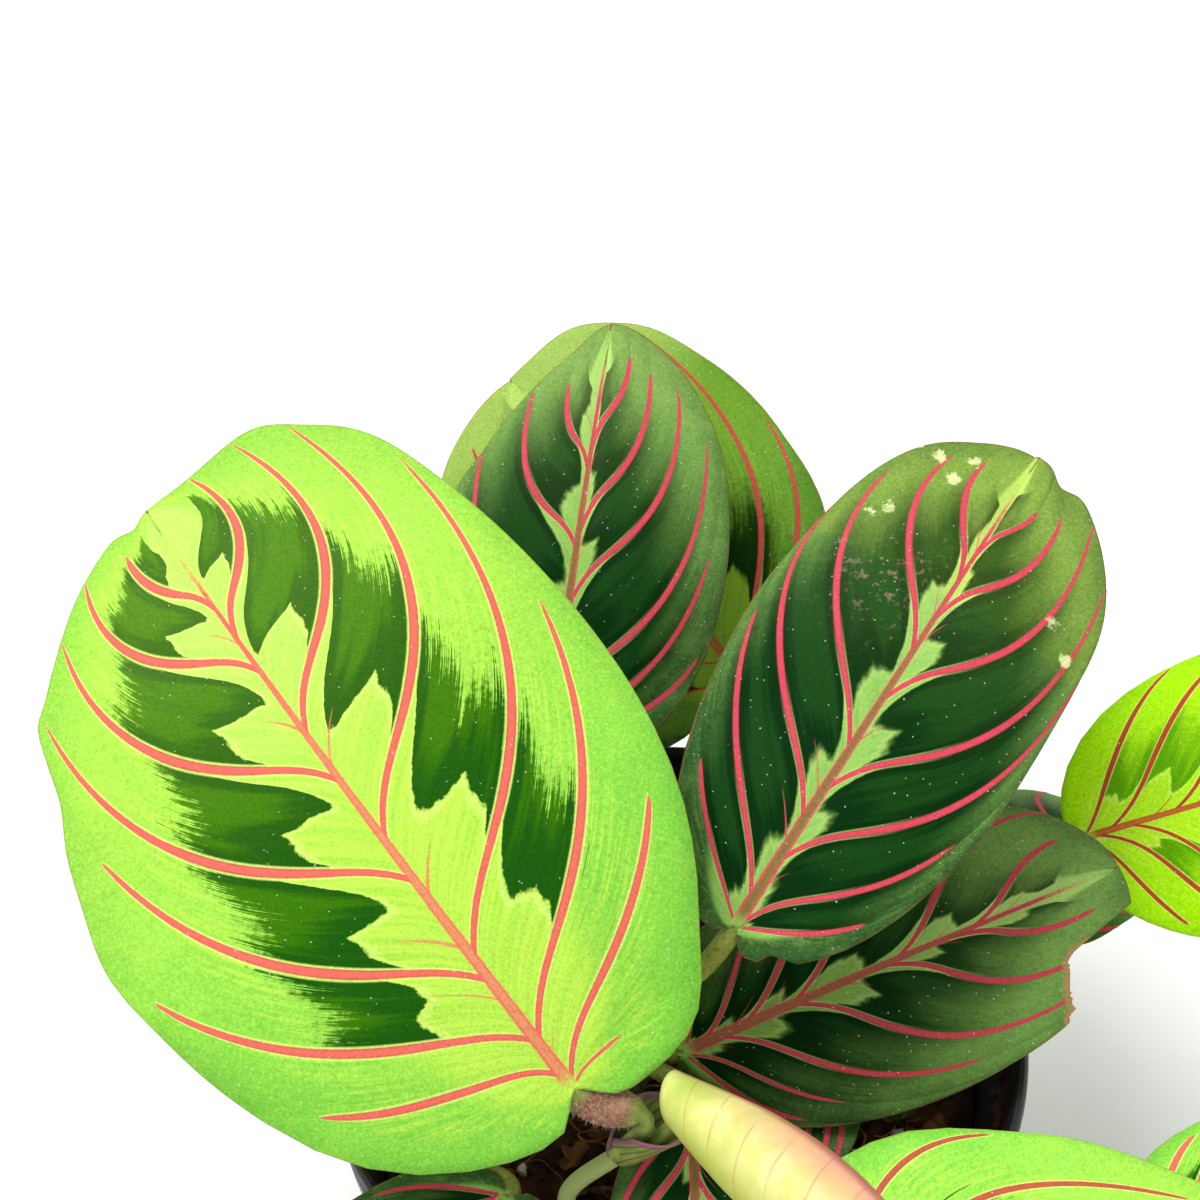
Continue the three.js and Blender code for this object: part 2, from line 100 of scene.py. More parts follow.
# Each shoot: where its stem enters the potting mix, the points that a bent stem passes,
# the mouth of its sheath and the bearing of its first leaf stalk in degrees
SHOOTS = {
    "front": {"foot": (-18, -43), "via": ((-18, -42, 101), (-18, -40, 112), (-10, -37, 118)),
              "top": (-5, -36, 125), "turn": 215, "girth": 1.45, "sheath": 9.5},
    "front_left": {"foot": (-36, -30), "top": (-37, -31, 104), "turn": 300},
    "left": {"foot": (-33, 2), "top": (-35, 3, 103), "turn": 180},
    "middle": {"foot": (-9, -9), "top": (-9, -11, 103), "turn": 60},
    "back_left": {"foot": (-16, 17), "top": (-17, 19, 104), "turn": 60},
    "back_right": {"foot": (16, 38), "top": (17, 40, 106), "turn": 0},
    "right": {"foot": (39, -11), "top": (41, -13, 103), "turn": 350},
    "front_right": {"foot": (35, -32), "top": (37, -35, 103), "turn": 0},
    "front_middle": {"foot": (16, -44), "top": (17, -46, 102), "turn": 0},
}

# What a leaf has unless its own entry says otherwise. A pair is for its left and its right half as seen from
# its base.
# arch, roll: how far it bends along and leans to a side, in degrees; drape: how far its margins hang
# wave, waves, phase: how high, how many and from where its margins ripple
# skew, lobe, blunt, lop: how much fuller its outline is towards the base, how far it reaches back beside the
# stalk, how pointed its tip is and how much wider it is on the left
# rise: how far its stalk runs straight out of the sheath; swelling: the radius of its stalk's swelling
# slot: a finish for a leaf whose finish isn't named for its kind; nothing reads it
# veins: for each side vein from the base up, where it leaves the midrib as a share of its length, where on
# the margin it points to as a share of the way round to the tip, and how far it runs
# pull: how far the veins swing out and how soon they turn
# cells: for each space between side veins from the base up, where on the way from midrib to margin its dark
# blotch starts, how deep its inner lobes are, where it ends and, if it is broken up, how much of it is there
# bulge: for each half, where along the margin it swells, over how much of it and how far
# bites: circles cut out of the margin; trim: how much narrower than its outline a half is
# girth, midrib: how wide the veins and the midrib are; rust: how brown its veins are
# dim: how far painted shade darkens the leaf, or below zero how far painted sunlight pales its tip
# sun: from where along the midrib painted sunlight falls on it; graze: the middle and width of a scratched
# patch
LEAF = {
    "drape": 3.0, "wave": 1.0, "waves": 2.6, "phase": 0.0, "skew": 0.0, "lobe": 0.04, "blunt": 1.0,
    "lop": 0.0, "rise": 0.4, "bites": (), "pull": ((1.2, 0.3), (1.2, 0.3)), "bulge": ((), ()), "trim": 0.0,
    "midrib": 1.0, "girth": 0.8, "dim": 0.0, "rust": 0.0, "sun": 2.0, "graze": (0, 0, 0),
    "veins": (
        ((0.05, 0.42, 0.7), (0.12, 0.56, 0.85), (0.24, 0.66, 0.92), (0.40, 0.77, 0.95), (0.58, 0.87, 0.92),
         (0.74, 0.94, 0.8)),
        ((0.01, 0.36, 0.65), (0.06, 0.52, 0.8), (0.17, 0.64, 0.93), (0.32, 0.75, 0.97), (0.50, 0.85, 0.95),
         (0.67, 0.92, 0.88), (0.82, 0.968, 0.6))),
}
BRIGHT_CELLS = (
    (None, (0.19, 0.3, 0.42), (0.19, 0.6, 0.46), (0.2, 0.8, 0.52), (0.22, 1.0, 0.6), (0.28, 1.0, 0.68),
     (0.22, 0.4, 0.7)),
    (None, None, (0.19, 0.3, 0.4), (0.2, 0.6, 0.42), (0.2, 0.8, 0.5), (0.23, 1.0, 0.6), (0.26, 1.0, 0.66),
     (0.22, 0.8, 0.72)))
DARK_CELLS = (
    (None, (0.07, 0.25, 0.48), (0.08, 0.35, 0.54), (0.1, 0.45, 0.58), (0.12, 0.65, 0.56), (0.17, 0.7, 0.52),
     (0.22, 0.4, 0.4)),
    (None, (0.06, 0.2, 0.44), (0.07, 0.3, 0.52), (0.09, 0.45, 0.56), (0.12, 0.6, 0.56), (0.14, 0.7, 0.54),
     (0.17, 0.8, 0.48), (0.2, 0.4, 0.36)))
CELLS = {"bright": BRIGHT_CELLS, "lime": BRIGHT_CELLS, "olive": BRIGHT_CELLS, "dark": DARK_CELLS}
LEAVES = {
    "front_large": {
        "kind": "bright", "shoot": "front", "socket": 0, "base": (-17, -37, 136), "tip": (-86, 35, 189),
        "width": 95, "arch": 45, "roll": 24, "drape": 5, "wave": 1.2, "waves": 2.4, "phase": 2.2,
        "skew": (0.06, 0.0), "lobe": (0.045, 0.05), "blunt": (1.15, 0.55), "lop": -0.02, "rise": 0.55,
        "swelling": 3.2, "girth": 1.0, "pull": ((1.0, 0.3), (1.0, 0.3)),
        "bulge": (((0.51, 0.05, 2.2), (0.655, 0.035, -1.9), (0.725, 0.02, 1.2), (0.965, 0.02, -1.8)),
                  ((0.13, 0.06, 3.6), (0.8, 0.1, 2.6), (0.93, 0.045, 3.0))),
        "cells": ((None, None, (0.19, 0.2, 0.40), (0.19, 0.65, 0.45), (0.2, 0.85, 0.49), (0.225, 1.1, 0.62),
                   (0.29, 1.2, 0.70), (0.25, 0.3, 0.70)),
                  (None, None, (0.24, 0.2, 0.36, 0.35), (0.195, 0.25, 0.40), (0.2, 0.6, 0.41),
                   (0.225, 0.95, 0.52), (0.235, 1.3, 0.68), (0.24, 1.4, 0.78))),
        "veins": (((0.06, 0.353, 0.72), (0.12, 0.52, 0.86), (0.22, 0.645, 0.90), (0.38, 0.737, 0.98),
                   (0.54, 0.812, 1.0), (0.72, 0.878, 1.0), (0.83, 0.945, 0.83)),
                  ((0.02, 0.18, 0.35), (0.055, 0.428, 0.74), (0.13, 0.62, 0.85), (0.27, 0.778, 0.95),
                   (0.46, 0.895, 1.0), (0.63, 0.953, 1.0), (0.79, 0.987, 1.0)))},
    "back_middle": {
        "kind": "dark", "shoot": "back_left", "socket": 1, "base": (-22, 25, 144), "tip": (-11, 93, 187),
        "width": 57, "arch": 35, "roll": -4, "drape": 4, "skew": (0.0, 0.08), "blunt": (1.1, 1.2),
        "trim": (0.24, 0.0), "dim": -0.12,
        "cells": ((None, (0.07, 0.2, 0.5), (0.08, 0.3, 0.56), (0.11, 0.6, 0.58), (0.1, 0.3, 0.5),
                   (0.1, 0.2, 0.36)),
                  (None, (0.06, 0.2, 0.46), (0.07, 0.3, 0.54), (0.1, 0.5, 0.58), (0.11, 0.5, 0.56),
                   (0.1, 0.4, 0.5), (0.09, 0.2, 0.38))),
        "pull": ((1.3, 0.1), (1.3, 0.3)),
        "veins": (((0.02, 0.42, 0.7), (0.08, 0.62, 0.8), (0.22, 0.778, 0.8), (0.48, 0.878, 0.8),
                   (0.66, 0.945, 0.68)),
                  ((0.01, 0.428, 0.73), (0.04, 0.645, 0.71), (0.15, 0.72, 0.92), (0.38, 0.82, 0.92),
                   (0.54, 0.895, 0.86), (0.73, 0.945, 0.77)))},
    "back_tall": {
        "kind": "olive", "slot": "lime", "shoot": "back_right", "socket": 1, "base": (15, 52, 132),
        "tip": (-31, 101, 169),
        "width": 78, "arch": 30, "roll": 30, "drape": 4, "bites": ((81.5, 1.4, 3.4),),
        "bulge": ((), ((0.47, 0.08, -1.5), (0.76, 0.07, 3.0), (0.87, 0.08, 4.6))),
        "dim": -0.42, "pull": ((1.2, 0.3), (1.25, 0.3)),
        "cells": (BRIGHT_CELLS[0],
                  (None, (0.2, 0.3, 0.36), (0.2, 0.5, 0.38, 0.6), (0.2, 0.6, 0.4), (0.2, 0.6, 0.4))),
        "veins": (((0.05, 0.42, 0.4), (0.12, 0.56, 0.4), (0.24, 0.66, 0.4), (0.40, 0.77, 0.4),
                   (0.62, 0.9, 0.9), (0.8, 0.96, 0.6)),
                  ((0.01, 0.32, 0.65), (0.03, 0.61, 0.86), (0.08, 0.80, 0.97), (0.3, 0.90, 0.9),
                   (0.5, 0.96, 0.8)))},
    "right_large": {
        "kind": "dark", "shoot": "middle", "socket": 1, "base": (8, -13, 144), "tip": (61, 52, 187),
        "width": 55, "arch": 30, "roll": -18, "drape": 4, "skew": (-0.04, 0.0), "lobe": (0.03, 0.04),
        "blunt": (0.9, 0.85), "lop": 0.02, "pull": ((1.3, 0.5), (1.15, 0.3)), "bites": ((-1.6, -7.3, 1.3),),
        "sun": 0.66, "graze": (62, 11, 9),
        "bulge": (((0.9, 0.08, -1.0),), ((0.7, 0.1, 2.1), (0.945, 0.03, -2.4))),
        "cells": ((None, (0.09, 0.2, 0.66), (0.065, 0.25, 0.74), (0.09, 0.4, 0.74), (0.11, 0.5, 0.66),
                   (0.14, 0.35, 0.58), (0.08, 0.1, 0.26)),
                  (None, (0.06, 0.1, 0.62), (0.06, 0.2, 0.7), (0.08, 0.35, 0.74), (0.11, 0.5, 0.7),
                   (0.12, 0.6, 0.6), (0.12, 0.45, 0.52), (0.07, 0.1, 0.26))),
        "veins": (((0.01, 0.437, 0.54), (0.09, 0.587, 0.74), (0.25, 0.662, 0.96), (0.39, 0.795, 0.87),
                   (0.59, 0.895, 0.88), (0.74, 0.953, 0.79)),
                  ((0.005, 0.345, 0.62), (0.06, 0.512, 0.67), (0.19, 0.628, 0.97), (0.33, 0.745, 1.0),
                   (0.51, 0.853, 1.0), (0.68, 0.928, 0.88), (0.81, 0.97, 0.59)))},
    "right_lower": {
        "kind": "dark", "shoot": "middle", "socket": 0, "base": (1, -13, 109), "tip": (77, 11, 129),
        "width": 49, "arch": 30, "roll": -27, "blunt": (1.1, 0.9), "pull": ((1.15, 0.5), (1.3, 0.3)),
        "girth": 0.75, "dim": 0.45, "rust": 0.35,
        "bites": ((74.5, -19.0, 10.3), (69.4, -13.2, 3.2), (64.6, -21.5, 2.2)),
        "cells": ((None, (0.08, 0.2, 0.4), (0.07, 0.3, 0.44), (0.09, 0.4, 0.46), (0.11, 0.6, 0.48),
                   (0.14, 0.5, 0.4), (0.12, 0.2, 0.3)),
                  (None, (0.06, 0.1, 0.4), (0.07, 0.2, 0.4), (0.09, 0.4, 0.42), (0.11, 0.6, 0.46),
                   (0.1, 0.5, 0.4), (0.12, 0.3, 0.32))),
        "veins": (((0.02, 0.30, 0.5), (0.09, 0.453, 0.7), (0.19, 0.60, 0.8), (0.30, 0.70, 0.9),
                   (0.53, 0.803, 1.0), (0.70, 0.903, 0.75)),
                  ((0.01, 0.42, 0.6), (0.06, 0.587, 0.47), (0.15, 0.72, 0.72), (0.32, 0.803, 0.95),
                   (0.52, 0.895, 0.9), (0.67, 0.962, 0.82)))},
    "right_outer": {
        "kind": "lime", "shoot": "right", "socket": 0, "base": (74, 21, 125), "tip": (150, 41, 132),
        "width": 57, "arch": 30, "roll": -30, "drape": 4, "pull": ((1.15, 0.5), (1.3, 0.5)),
        "girth": 0.6, "midrib": 0.6,
        "veins": (((0.02, 0.42, 0.95), (0.11, 0.553, 0.9), (0.26, 0.68, 0.9), (0.42, 0.79, 0.9),
                   (0.60, 0.88, 0.85), (0.76, 0.945, 0.8)),
                  ((0.03, 0.33, 0.7), (0.10, 0.462, 0.9), (0.18, 0.56, 0.9), (0.34, 0.70, 0.9),
                   (0.52, 0.81, 0.9), (0.70, 0.90, 0.85)))},
    "front_right": {
        "kind": "bright", "shoot": "front_middle", "socket": 0, "base": (24, -55, 116), "tip": (94, -67, 120),
        "width": 49, "arch": 30, "roll": -20, "drape": 4, "pull": ((1.3, 0.1), (1.2, 0.3)),
        "lobe": (0.16, 0.05), "skew": (0.16, 0.0), "girth": 0.7, "rust": 0.8,
        "cells": ((None, (0.26, 0.1, 0.3, 0.3), (0.24, 0.2, 0.3, 0.4), (0.2, 0.5, 0.36, 0.6),
                   (0.2, 0.5, 0.4)), BRIGHT_CELLS[1]),
        "veins": (((0.005, 0.478, 0.86), (0.14, 0.762, 0.9), (0.30, 0.83, 0.9), (0.48, 0.90, 0.85),
                   (0.66, 0.945, 0.8)), LEAF["veins"][1])},
    "front_right_outer": {
        "kind": "bright", "shoot": "front_right", "socket": 0, "base": (70, -50, 109), "tip": (136, -40, 111),
        "width": 44, "arch": 30, "roll": -10},
    "front_low": {
        "kind": "dark", "shoot": "middle", "socket": 2, "base": (2, -24, 111), "tip": (1, -92, 99),
        "width": 31, "arch": 35, "roll": 0},
    "front_left_low": {
        "kind": "dark", "shoot": "front_left", "socket": 0, "base": (-28, -41, 112), "tip": (-70, -104, 98),
        "width": 52, "arch": 35, "roll": 0},
    "front_left_under": {
        "kind": "dark", "shoot": "front_left", "socket": 2, "base": (-36, -16, 122), "tip": (-84, 30, 136),
        "width": 46, "arch": 30, "roll": 16},
    "middle_low": {
        "kind": "dark", "shoot": "right", "socket": 2, "base": (29, -17, 103), "tip": (0, -27, 98),
        "width": 28, "arch": 30, "roll": 0, "drape": 2},
    "left_low": {
        "kind": "lime", "shoot": "left", "socket": 0, "base": (-47, 8, 115), "tip": (-106, 38, 119),
        "width": 50, "arch": 35, "roll": 0},
    "back_left_low": {
        "kind": "dark", "shoot": "left", "socket": 1, "base": (-40, 34, 110), "tip": (-72, 102, 103),
        "width": 52, "arch": 35, "roll": 0},
    "back_low": {
        "kind": "dark", "shoot": "back_left", "socket": 0, "base": (-8, 50, 118), "tip": (-18, 122, 108),
        "width": 54, "arch": 35, "roll": 0},
    "back_right_low": {
        "kind": "bright", "shoot": "back_right", "socket": 0, "base": (38, 48, 120), "tip": (80, 104, 116),
        "width": 52, "arch": 35, "roll": 0},
    "back_right_upper": {
        "kind": "dark", "shoot": "back_right", "socket": 2, "base": (38, 38, 132), "tip": (67, 80, 141),
        "width": 42, "arch": 30, "roll": -10},
    "right_low": {
        "kind": "dark", "shoot": "right", "socket": 1, "base": (54, 16, 110), "tip": (93, 54, 92),
        "trim": (0.3, 0.3), "width": 48, "arch": 35, "roll": 0},
    "front_right_low": {
        "kind": "dark", "shoot": "front_right", "socket": 2, "base": (40, -57, 108), "tip": (60, -120, 88),
        "width": 48, "arch": 25, "roll": 0},
}

# The new leaf, still rolled up: its ends, how far it arches, how slantwise its foot is cut, its radii at even
# steps, the light that its painted shade turns from, its turns, the radius of its stalk and how thick its
# sheet is
NEW_LEAF = {"shoot": "front", "socket": 1, "base": (-2, -37, 133.2), "tip": (38, -84, 146), "arch": 2.5,
            "slant": 2.0, "radii": (3.6, 5.2, 6.6, 7.3, 7.1, 6.1, 4.5, 2.5, 0.7), "light": (0.62, 0.62, 0.48)}
NEW_LEAF_TURNS = 1.42
NEW_LEAF_STALK = 1.1
NEW_LEAF_SHEET = 0.35

# Litter on the potting mix: the least and greatest size of a lump as a share of its model's, and how far it
# lies aslant in radians
LITTER_SIZES = (0.6, 1.3)
LITTER_TILT = 0.5

# How many there are of each kind of litter, and of the hairs on the swelling of the largest leaf's stalk
CHIPS = 150
CRUMBS = 900
PERLITE_GRAINS = 50
FIBRES = 170
HAIRS = 420
HAIR_RADIUS = 0.05
HAIR_LENGTH = 1.0

# Leaf mesh: rows run along the side veins, closer together beside a vein, and columns cross them. The rows
# beside a vein lie that many of its half widths away, within VEIN_REACH of the space to the next vein, and
# the rows of the first and last space, which have a vein on one side only, at END_SHARES.
COLUMNS = (0, 0.012, 0.03, 0.055, 0.085, 0.12, 0.155, 0.19, 0.225, 0.26, 0.30, 0.34, 0.38, 0.42, 0.46, 0.50,
           0.54, 0.58, 0.62, 0.66, 0.70, 0.74, 0.78, 0.82, 0.86, 0.90, 0.935, 0.965, 0.985, 1.0)
VEIN_ROWS = (0.0, 0.5, 1.0, 1.5, 2.5)
VEIN_REACH = 0.28
ROWS_BETWEEN = 5
END_SHARES = (0.15, 0.3, 0.45, 0.6, 0.72, 0.82, 0.9, 0.95, 0.98, 0.993)

# The right half's spaces between veins are numbered from here on, so that they get their own random values
RIGHT_HALF = 20

# How far back the veins of the left (1) and right half hook where they leave the midrib, how much of the last
# space before the tip a blotch may fill, and the gap between the halves
VEIN_HOOK = {1: 3.8, -1: 5.6}
TIP_SPREAD = 0.5
RIB_GAP = 0.3

# A vein thinner than this counts as none, which is kept as a distance of NO_VEIN of its half widths.
# LEAST_GAP is the least gap reckoned between two veins, NO_BITE the distance from a bite where a leaf has
# none, and bites are looked for at these shares of the way from the midrib to the margin.
THIN_VEIN = 0.05
NO_VEIN = 9.0
LEAST_GAP = 0.4
NO_BITE = 99.0
BITE_SAMPLES = np.linspace(1, 0.3, 71)

STALK_SIDES = 12

# Stage, in metres: where the camera and the key light stand and the point that the light aims at
CAMERA_PLACE = (-0.0132, -0.1733, 0.3574)
KEY_PLACE = (-0.3, 0.1, 0.8)
KEY_AIM = (0, 0, 0.13)

# The width of the camera's sensor
SENSOR_WIDTH = 36


def srgb(red, green, blue):
    """A display colour from 0 to 255 as the linear colour that shaders take."""
    return tuple(((value / 255 + 0.055) / 1.055) ** 2.4 if value > 10 else value / 255 / 12.92
                 for value in (red, green, blue))


def length(name, description, default):
    """A length that can be changed in the sidebar, given in millimetres."""
    return FloatProperty(name=name, description=description, default=default * MM, unit="LENGTH", min=0)


def colour(name, description, default):
    """A colour that can be changed in the sidebar."""
    return FloatVectorProperty(name=name, description=description, default=srgb(*default), subtype="COLOR",
                               size=3, min=0, max=1)


class LeafSettings(bpy.types.PropertyGroup):
    """Sizes shared by all the leaves."""
    thickness: length("Blade thickness", "Thickness of a leaf blade", 0.45)
    puff: length("Puff", "How far a blade swells between two side veins", 0.28)
    vein: length("Vein half width", "Half the width of a side vein at its widest", 0.75)
    ridge: length("Vein ridge", "How far a side vein stands out of the blade", 0.14)
    midrib: length("Midrib half width", "Half the width of the midrib at the blade's base", 1.15)
    stalk: length("Stalk radius", "Radius of a leaf stalk", 1.2)
    swelling: length("Swelling radius", "Radius of the swelling where a stalk meets its blade", 1.75)


# The colours of each kind of leaf, in the order of the parts named below
LEAF_TONES = {
    "bright": ((136, 216, 74), (196, 240, 86), (24, 88, 8), (58, 120, 2), (240, 112, 98)),
    "dark": ((56, 94, 46), (154, 202, 98), (3, 46, 8), (20, 68, 18), (218, 76, 94)),
    "lime": ((168, 238, 8), (190, 244, 40), (92, 166, 2), (130, 196, 8), (186, 74, 44)),
    "olive": ((96, 150, 50), (146, 188, 52), (10, 50, 4), (54, 88, 6), (206, 84, 74)),
}
LEAF_PARTS = {"ground": "outer part", "feather": "part beside the midrib", "blotch": "blotches",
              "shade": "lighter streaks in the blotches", "vein": "side veins"}


class ColourSettings(bpy.types.PropertyGroup):
    """Colours of the pot and of each kind of leaf."""
    pot: colour("Pot", "Moulded plastic of the pot", (24, 25, 27))


for kind, tones in LEAF_TONES.items():
    for part, tone in zip(LEAF_PARTS, tones):
        ColourSettings.__annotations__[f"{kind}_{part}"] = colour(
            f"{kind.capitalize()} {part}", f"Colour of the {kind} leaves' {LEAF_PARTS[part]}", tone)


class StageSettings(bpy.types.PropertyGroup):
    """Floor, light and camera."""
    floor: FloatProperty(name="Floor size", description="Side of the square floor", default=6.0,
                         unit="LENGTH")
    key: FloatProperty(name="Key light", description="Strength of the soft light from above", default=2.2)
    ambient: FloatProperty(name="Ambient", description="Brightness of the white surroundings", default=0.75)
    lens: FloatProperty(name="Lens", description="Focal length in millimetres on a 36 mm sensor",
                        default=50.0)
    dip: FloatProperty(name="Camera dip", description="How far the camera looks down", subtype="ANGLE",
                       default=math.radians(42))


class PlantSettings(bpy.types.PropertyGroup):
    """All the settings of the potted plant."""
    leaves: PointerProperty(type=LeafSettings)
    colours: PointerProperty(type=ColourSettings)
    stage: PointerProperty(type=StageSettings)


def settings():
    """The plant's settings in this scene."""
    return bpy.context.scene.prayer_plant


def deselect():
    """Leaves nothing selected."""
    bpy.ops.object.select_all(action="DESELECT")


def choose(*pieces):
    """Selects only these pieces, the first of them active."""
    deselect()
    for piece in pieces:
        piece.select_set(True)
    bpy.context.view_layer.objects.active = pieces[0]


def joined(name, pieces):
    """One piece made of several, under a new name."""
    choose(*pieces)
    bpy.ops.object.join()
    piece = bpy.context.object
    piece.name = name
    return piece


def delete(*pieces):
    """Takes pieces away."""
    choose(*pieces)
    bpy.ops.object.delete()


def copy_of(model):
    """A copy of a piece with its own mesh."""
    copy = model.copy()
    copy.data = model.data.copy()
    bpy.context.collection.objects.link(copy)
    return copy


def thicken(piece, thickness, offset, under=0):
    """Gives a sheet its thickness in metres; its new side has the material that comes under places later."""
    shell = piece.modifiers.new("thickness", "SOLIDIFY")
    shell.thickness = thickness
    shell.offset = offset
    shell.material_offset = under
    bpy.ops.object.modifier_apply(modifier=shell.name)


def unit(vectors):
    """Vectors drawn out or in to length 1."""
    return vectors / np.linalg.norm(vectors, axis=-1, keepdims=True)


def run_along(route):
    """How far each point of a route lies from its start, along it."""
    return np.concatenate([[0], np.cumsum(np.linalg.norm(np.diff(route, axis=0), axis=1))])


def merge_close(piece, distance):
    """Merges vertices of a piece that lie closer than a distance in millimetres."""
    choose(piece)
    bpy.ops.object.mode_set(mode="EDIT")
    bpy.ops.mesh.select_all(action="SELECT")
    bpy.ops.mesh.remove_doubles(threshold=distance * MM)
    bpy.ops.object.mode_set(mode="OBJECT")


def sheet(name, points, across=None, along=None):
    """A grid whose vertices stand at the given rows and columns of points, in millimetres.

    across and along are its UV coordinates, by row and column."""
    rows, columns = points.shape[:2]
    deselect()
    bpy.ops.mesh.primitive_grid_add(x_subdivisions=columns - 1, y_subdivisions=rows - 1, size=1)
    piece = bpy.context.object
    piece.name = name
    mesh = piece.data
    mesh.vertices.foreach_set("co", (points * MM).astype(np.float32).ravel())
    if across is not None:
        corners = np.zeros(len(mesh.loops), np.int32)
        mesh.loops.foreach_get("vertex_index", corners)
        uv = np.stack([across.ravel()[corners], along.ravel()[corners]], -1)
        mesh.uv_layers.active.data.foreach_set("uv", uv.astype(np.float32).ravel())
    mesh.update()
    return piece


def smooth_route(points, steps):
    """Points of a centripetal Catmull-Rom curve through the given points, evenly many for each stretch."""
    known = [np.array(point, float) for point in points]
    known = [2 * known[0] - known[1]] + known + [2 * known[-1] - known[-2]]
    route = []
    for before, start, end, after in zip(known, known[1:], known[2:], known[3:]):
        one = np.linalg.norm(start - before) ** 0.5
        two = np.linalg.norm(end - start) ** 0.5
        three = np.linalg.norm(after - end) ** 0.5
        leave = ((start - before) / one - (end - before) / (one + two) + (end - start) / two) * two
        arrive = ((end - start) / two - (after - start) / (two + three) + (after - end) / three) * two
        for t in np.linspace(0, 1, steps, endpoint=False):
            route.append((2 * t**3 - 3 * t**2 + 1) * start + (t**3 - 2 * t**2 + t) * leave
                         + (3 * t**2 - 2 * t**3) * end + (t**3 - t**2) * arrive)
    route.append(known[-2])
    return np.array(route)


def ring_frames(route):
    """Two directions square to a route at each of its points, turned as little as possible."""
    ahead = unit(np.gradient(route, axis=0))
    first = [unit(np.cross(ahead[0], (0.3, 1.0, 0.1)))]
    for direction in ahead[1:]:
        first.append(unit(first[-1] - direction * (first[-1] @ direction)))
    first = np.array(first)
    return first, np.cross(ahead, first)


def tube(name, route, radii, sides=STALK_SIDES, values=None):
    """A closed tube along a route, in millimetres; its ends are drawn together to a point.

    values are numbers along the route that its vertices keep."""
    route = np.vstack([route[:1], route, route[-1:]])
    radii = np.concatenate([[0.0], radii, [0.0]])
    inner = route[1:-1]
    first, second = ring_frames(inner)
    first = np.vstack([first[:1], first, first[-1:]])
    second = np.vstack([second[:1], second, second[-1:]])
    angle = np.linspace(0, 2 * math.pi, sides + 1)
    ring = np.cos(angle)[None, :, None] * first[:, None] + np.sin(angle)[None, :, None] * second[:, None]
    points = route[:, None] + radii[:, None, None] * ring
    along = np.repeat(np.linspace(0, 1, len(route))[:, None], sides + 1, axis=1)
    around = np.repeat(np.linspace(0, 1, sides + 1)[None], len(route), axis=0)
    piece = sheet(name, points, around, along)
    for key, value in (values or {}).items():
        ends = np.concatenate([value[:1], value, value[-1:]])
        mark(piece, key, np.repeat(ends[:, None], sides + 1, axis=1))
    merge_close(piece, 0.004)
    bpy.ops.object.shade_smooth()
    return piece


class Blade:
    """The flat outline of a leaf and the curved surface that it lies on."""

    def __init__(self, facts):
        self.facts = {**LEAF, **facts}
        self.base = np.array(self.facts["base"], float)
        chord = np.array(self.facts["tip"], float) - self.base
        span = np.linalg.norm(chord)
        self.forward = chord / span
        level = unit(np.array([0, 0, 1.0]) - self.forward * self.forward[2])
        roll = math.radians(self.facts["roll"])
        self.normal = level * math.cos(roll) + np.cross(level, self.forward) * math.sin(roll)
        self.left = np.cross(self.normal, self.forward)
        self.bend = math.radians(self.facts["arch"])
        self.length = span * self.bend / 2 / math.sin(self.bend / 2)

    def half(self, fact, side):
        """A fact's value for one half of the leaf."""
        value = self.facts[fact]
        return value[0 if side > 0 else 1] if isinstance(value, tuple) else value

    def margin(self, share, side):
        """Points of the flat margin, share 0 at the base notch and 1 at the tip."""
        turn = math.pi * share
        lobe = self.half("lobe", side) * self.length
        x = -lobe + (self.length + lobe) * (1 - np.cos(turn)) / 2 + lobe * np.exp(-((turn / 0.075) ** 2))
        blunt = 1 + (self.half("blunt", side) - 1) * np.sqrt(np.maximum(-np.cos(turn), 0))
        widest = self.facts["width"] / 2 * (1 + side * self.facts["lop"])
        y = widest * np.abs(np.sin(turn)) ** blunt * (1 + self.half("skew", side) * np.cos(turn))
        far = sum(far * np.exp(-(((share - middle) / wide) ** 2))
                  for middle, wide, far in self.facts["bulge"][0 if side > 0 else 1])
        return x - far * np.cos(turn), y + far * np.sin(turn)

    def along_veins(self, share, across, side):
        """Points of the flat leaf on the lines that side veins follow, from the midrib to the margin."""
        veins = self.facts["veins"][0 if side > 0 else 1]
        swing, soon = self.facts["pull"][0 if side > 0 else 1]
        known = [0.0] + [end for _, end, _ in veins] + [1.0]
        along = np.interp(share, known, [0.0] + [start for start, _, _ in veins] + [1.0])
        end_x, end_y = self.margin(share, side)
        start_x = self.length * along
        bend_x = start_x + soon * (end_x - start_x)
        bend_y = end_y * (0.6 + 1.3 * share**3) * swing
        near = 1 - across
        x = near**2 * start_x + 2 * near * across * bend_x + across**2 * end_x
        y = 2 * near * across * bend_y + across**2 * end_y
        x = x - VEIN_HOOK[side] * np.minimum(along / 0.05, 1) * np.exp(-across / 0.05) * (1 - along**6)
        return x, side * (y + RIB_GAP * near**4)

    def place(self, x, y, lift=0.0):
        """Where points of the flat leaf lie once it is arched, drooped and waved, raised by lift."""
        facts = self.facts
        radius = self.length / self.bend
        angle = self.bend / 2 - self.bend * x / self.length
        out = np.minimum(np.abs(y) / (facts["width"] / 2), 2)
        ripple = 2 * math.pi * facts["waves"] * x / self.length + facts["phase"] + np.where(y > 0, 0, 2.1)
        lift = lift - facts["drape"] * out**2 + facts["wave"] * out**3 * np.sin(ripple)
        ahead = radius * (math.sin(self.bend / 2) - np.sin(angle)) - lift * np.sin(angle)
        above = radius * (np.cos(angle) - math.cos(self.bend / 2)) + lift * np.cos(angle)
        aside = y * (1 - 0.1 * out**2 * facts["drape"] / 6)
        return (self.base + ahead[..., None] * self.forward + above[..., None] * self.normal
                + aside[..., None] * self.left)


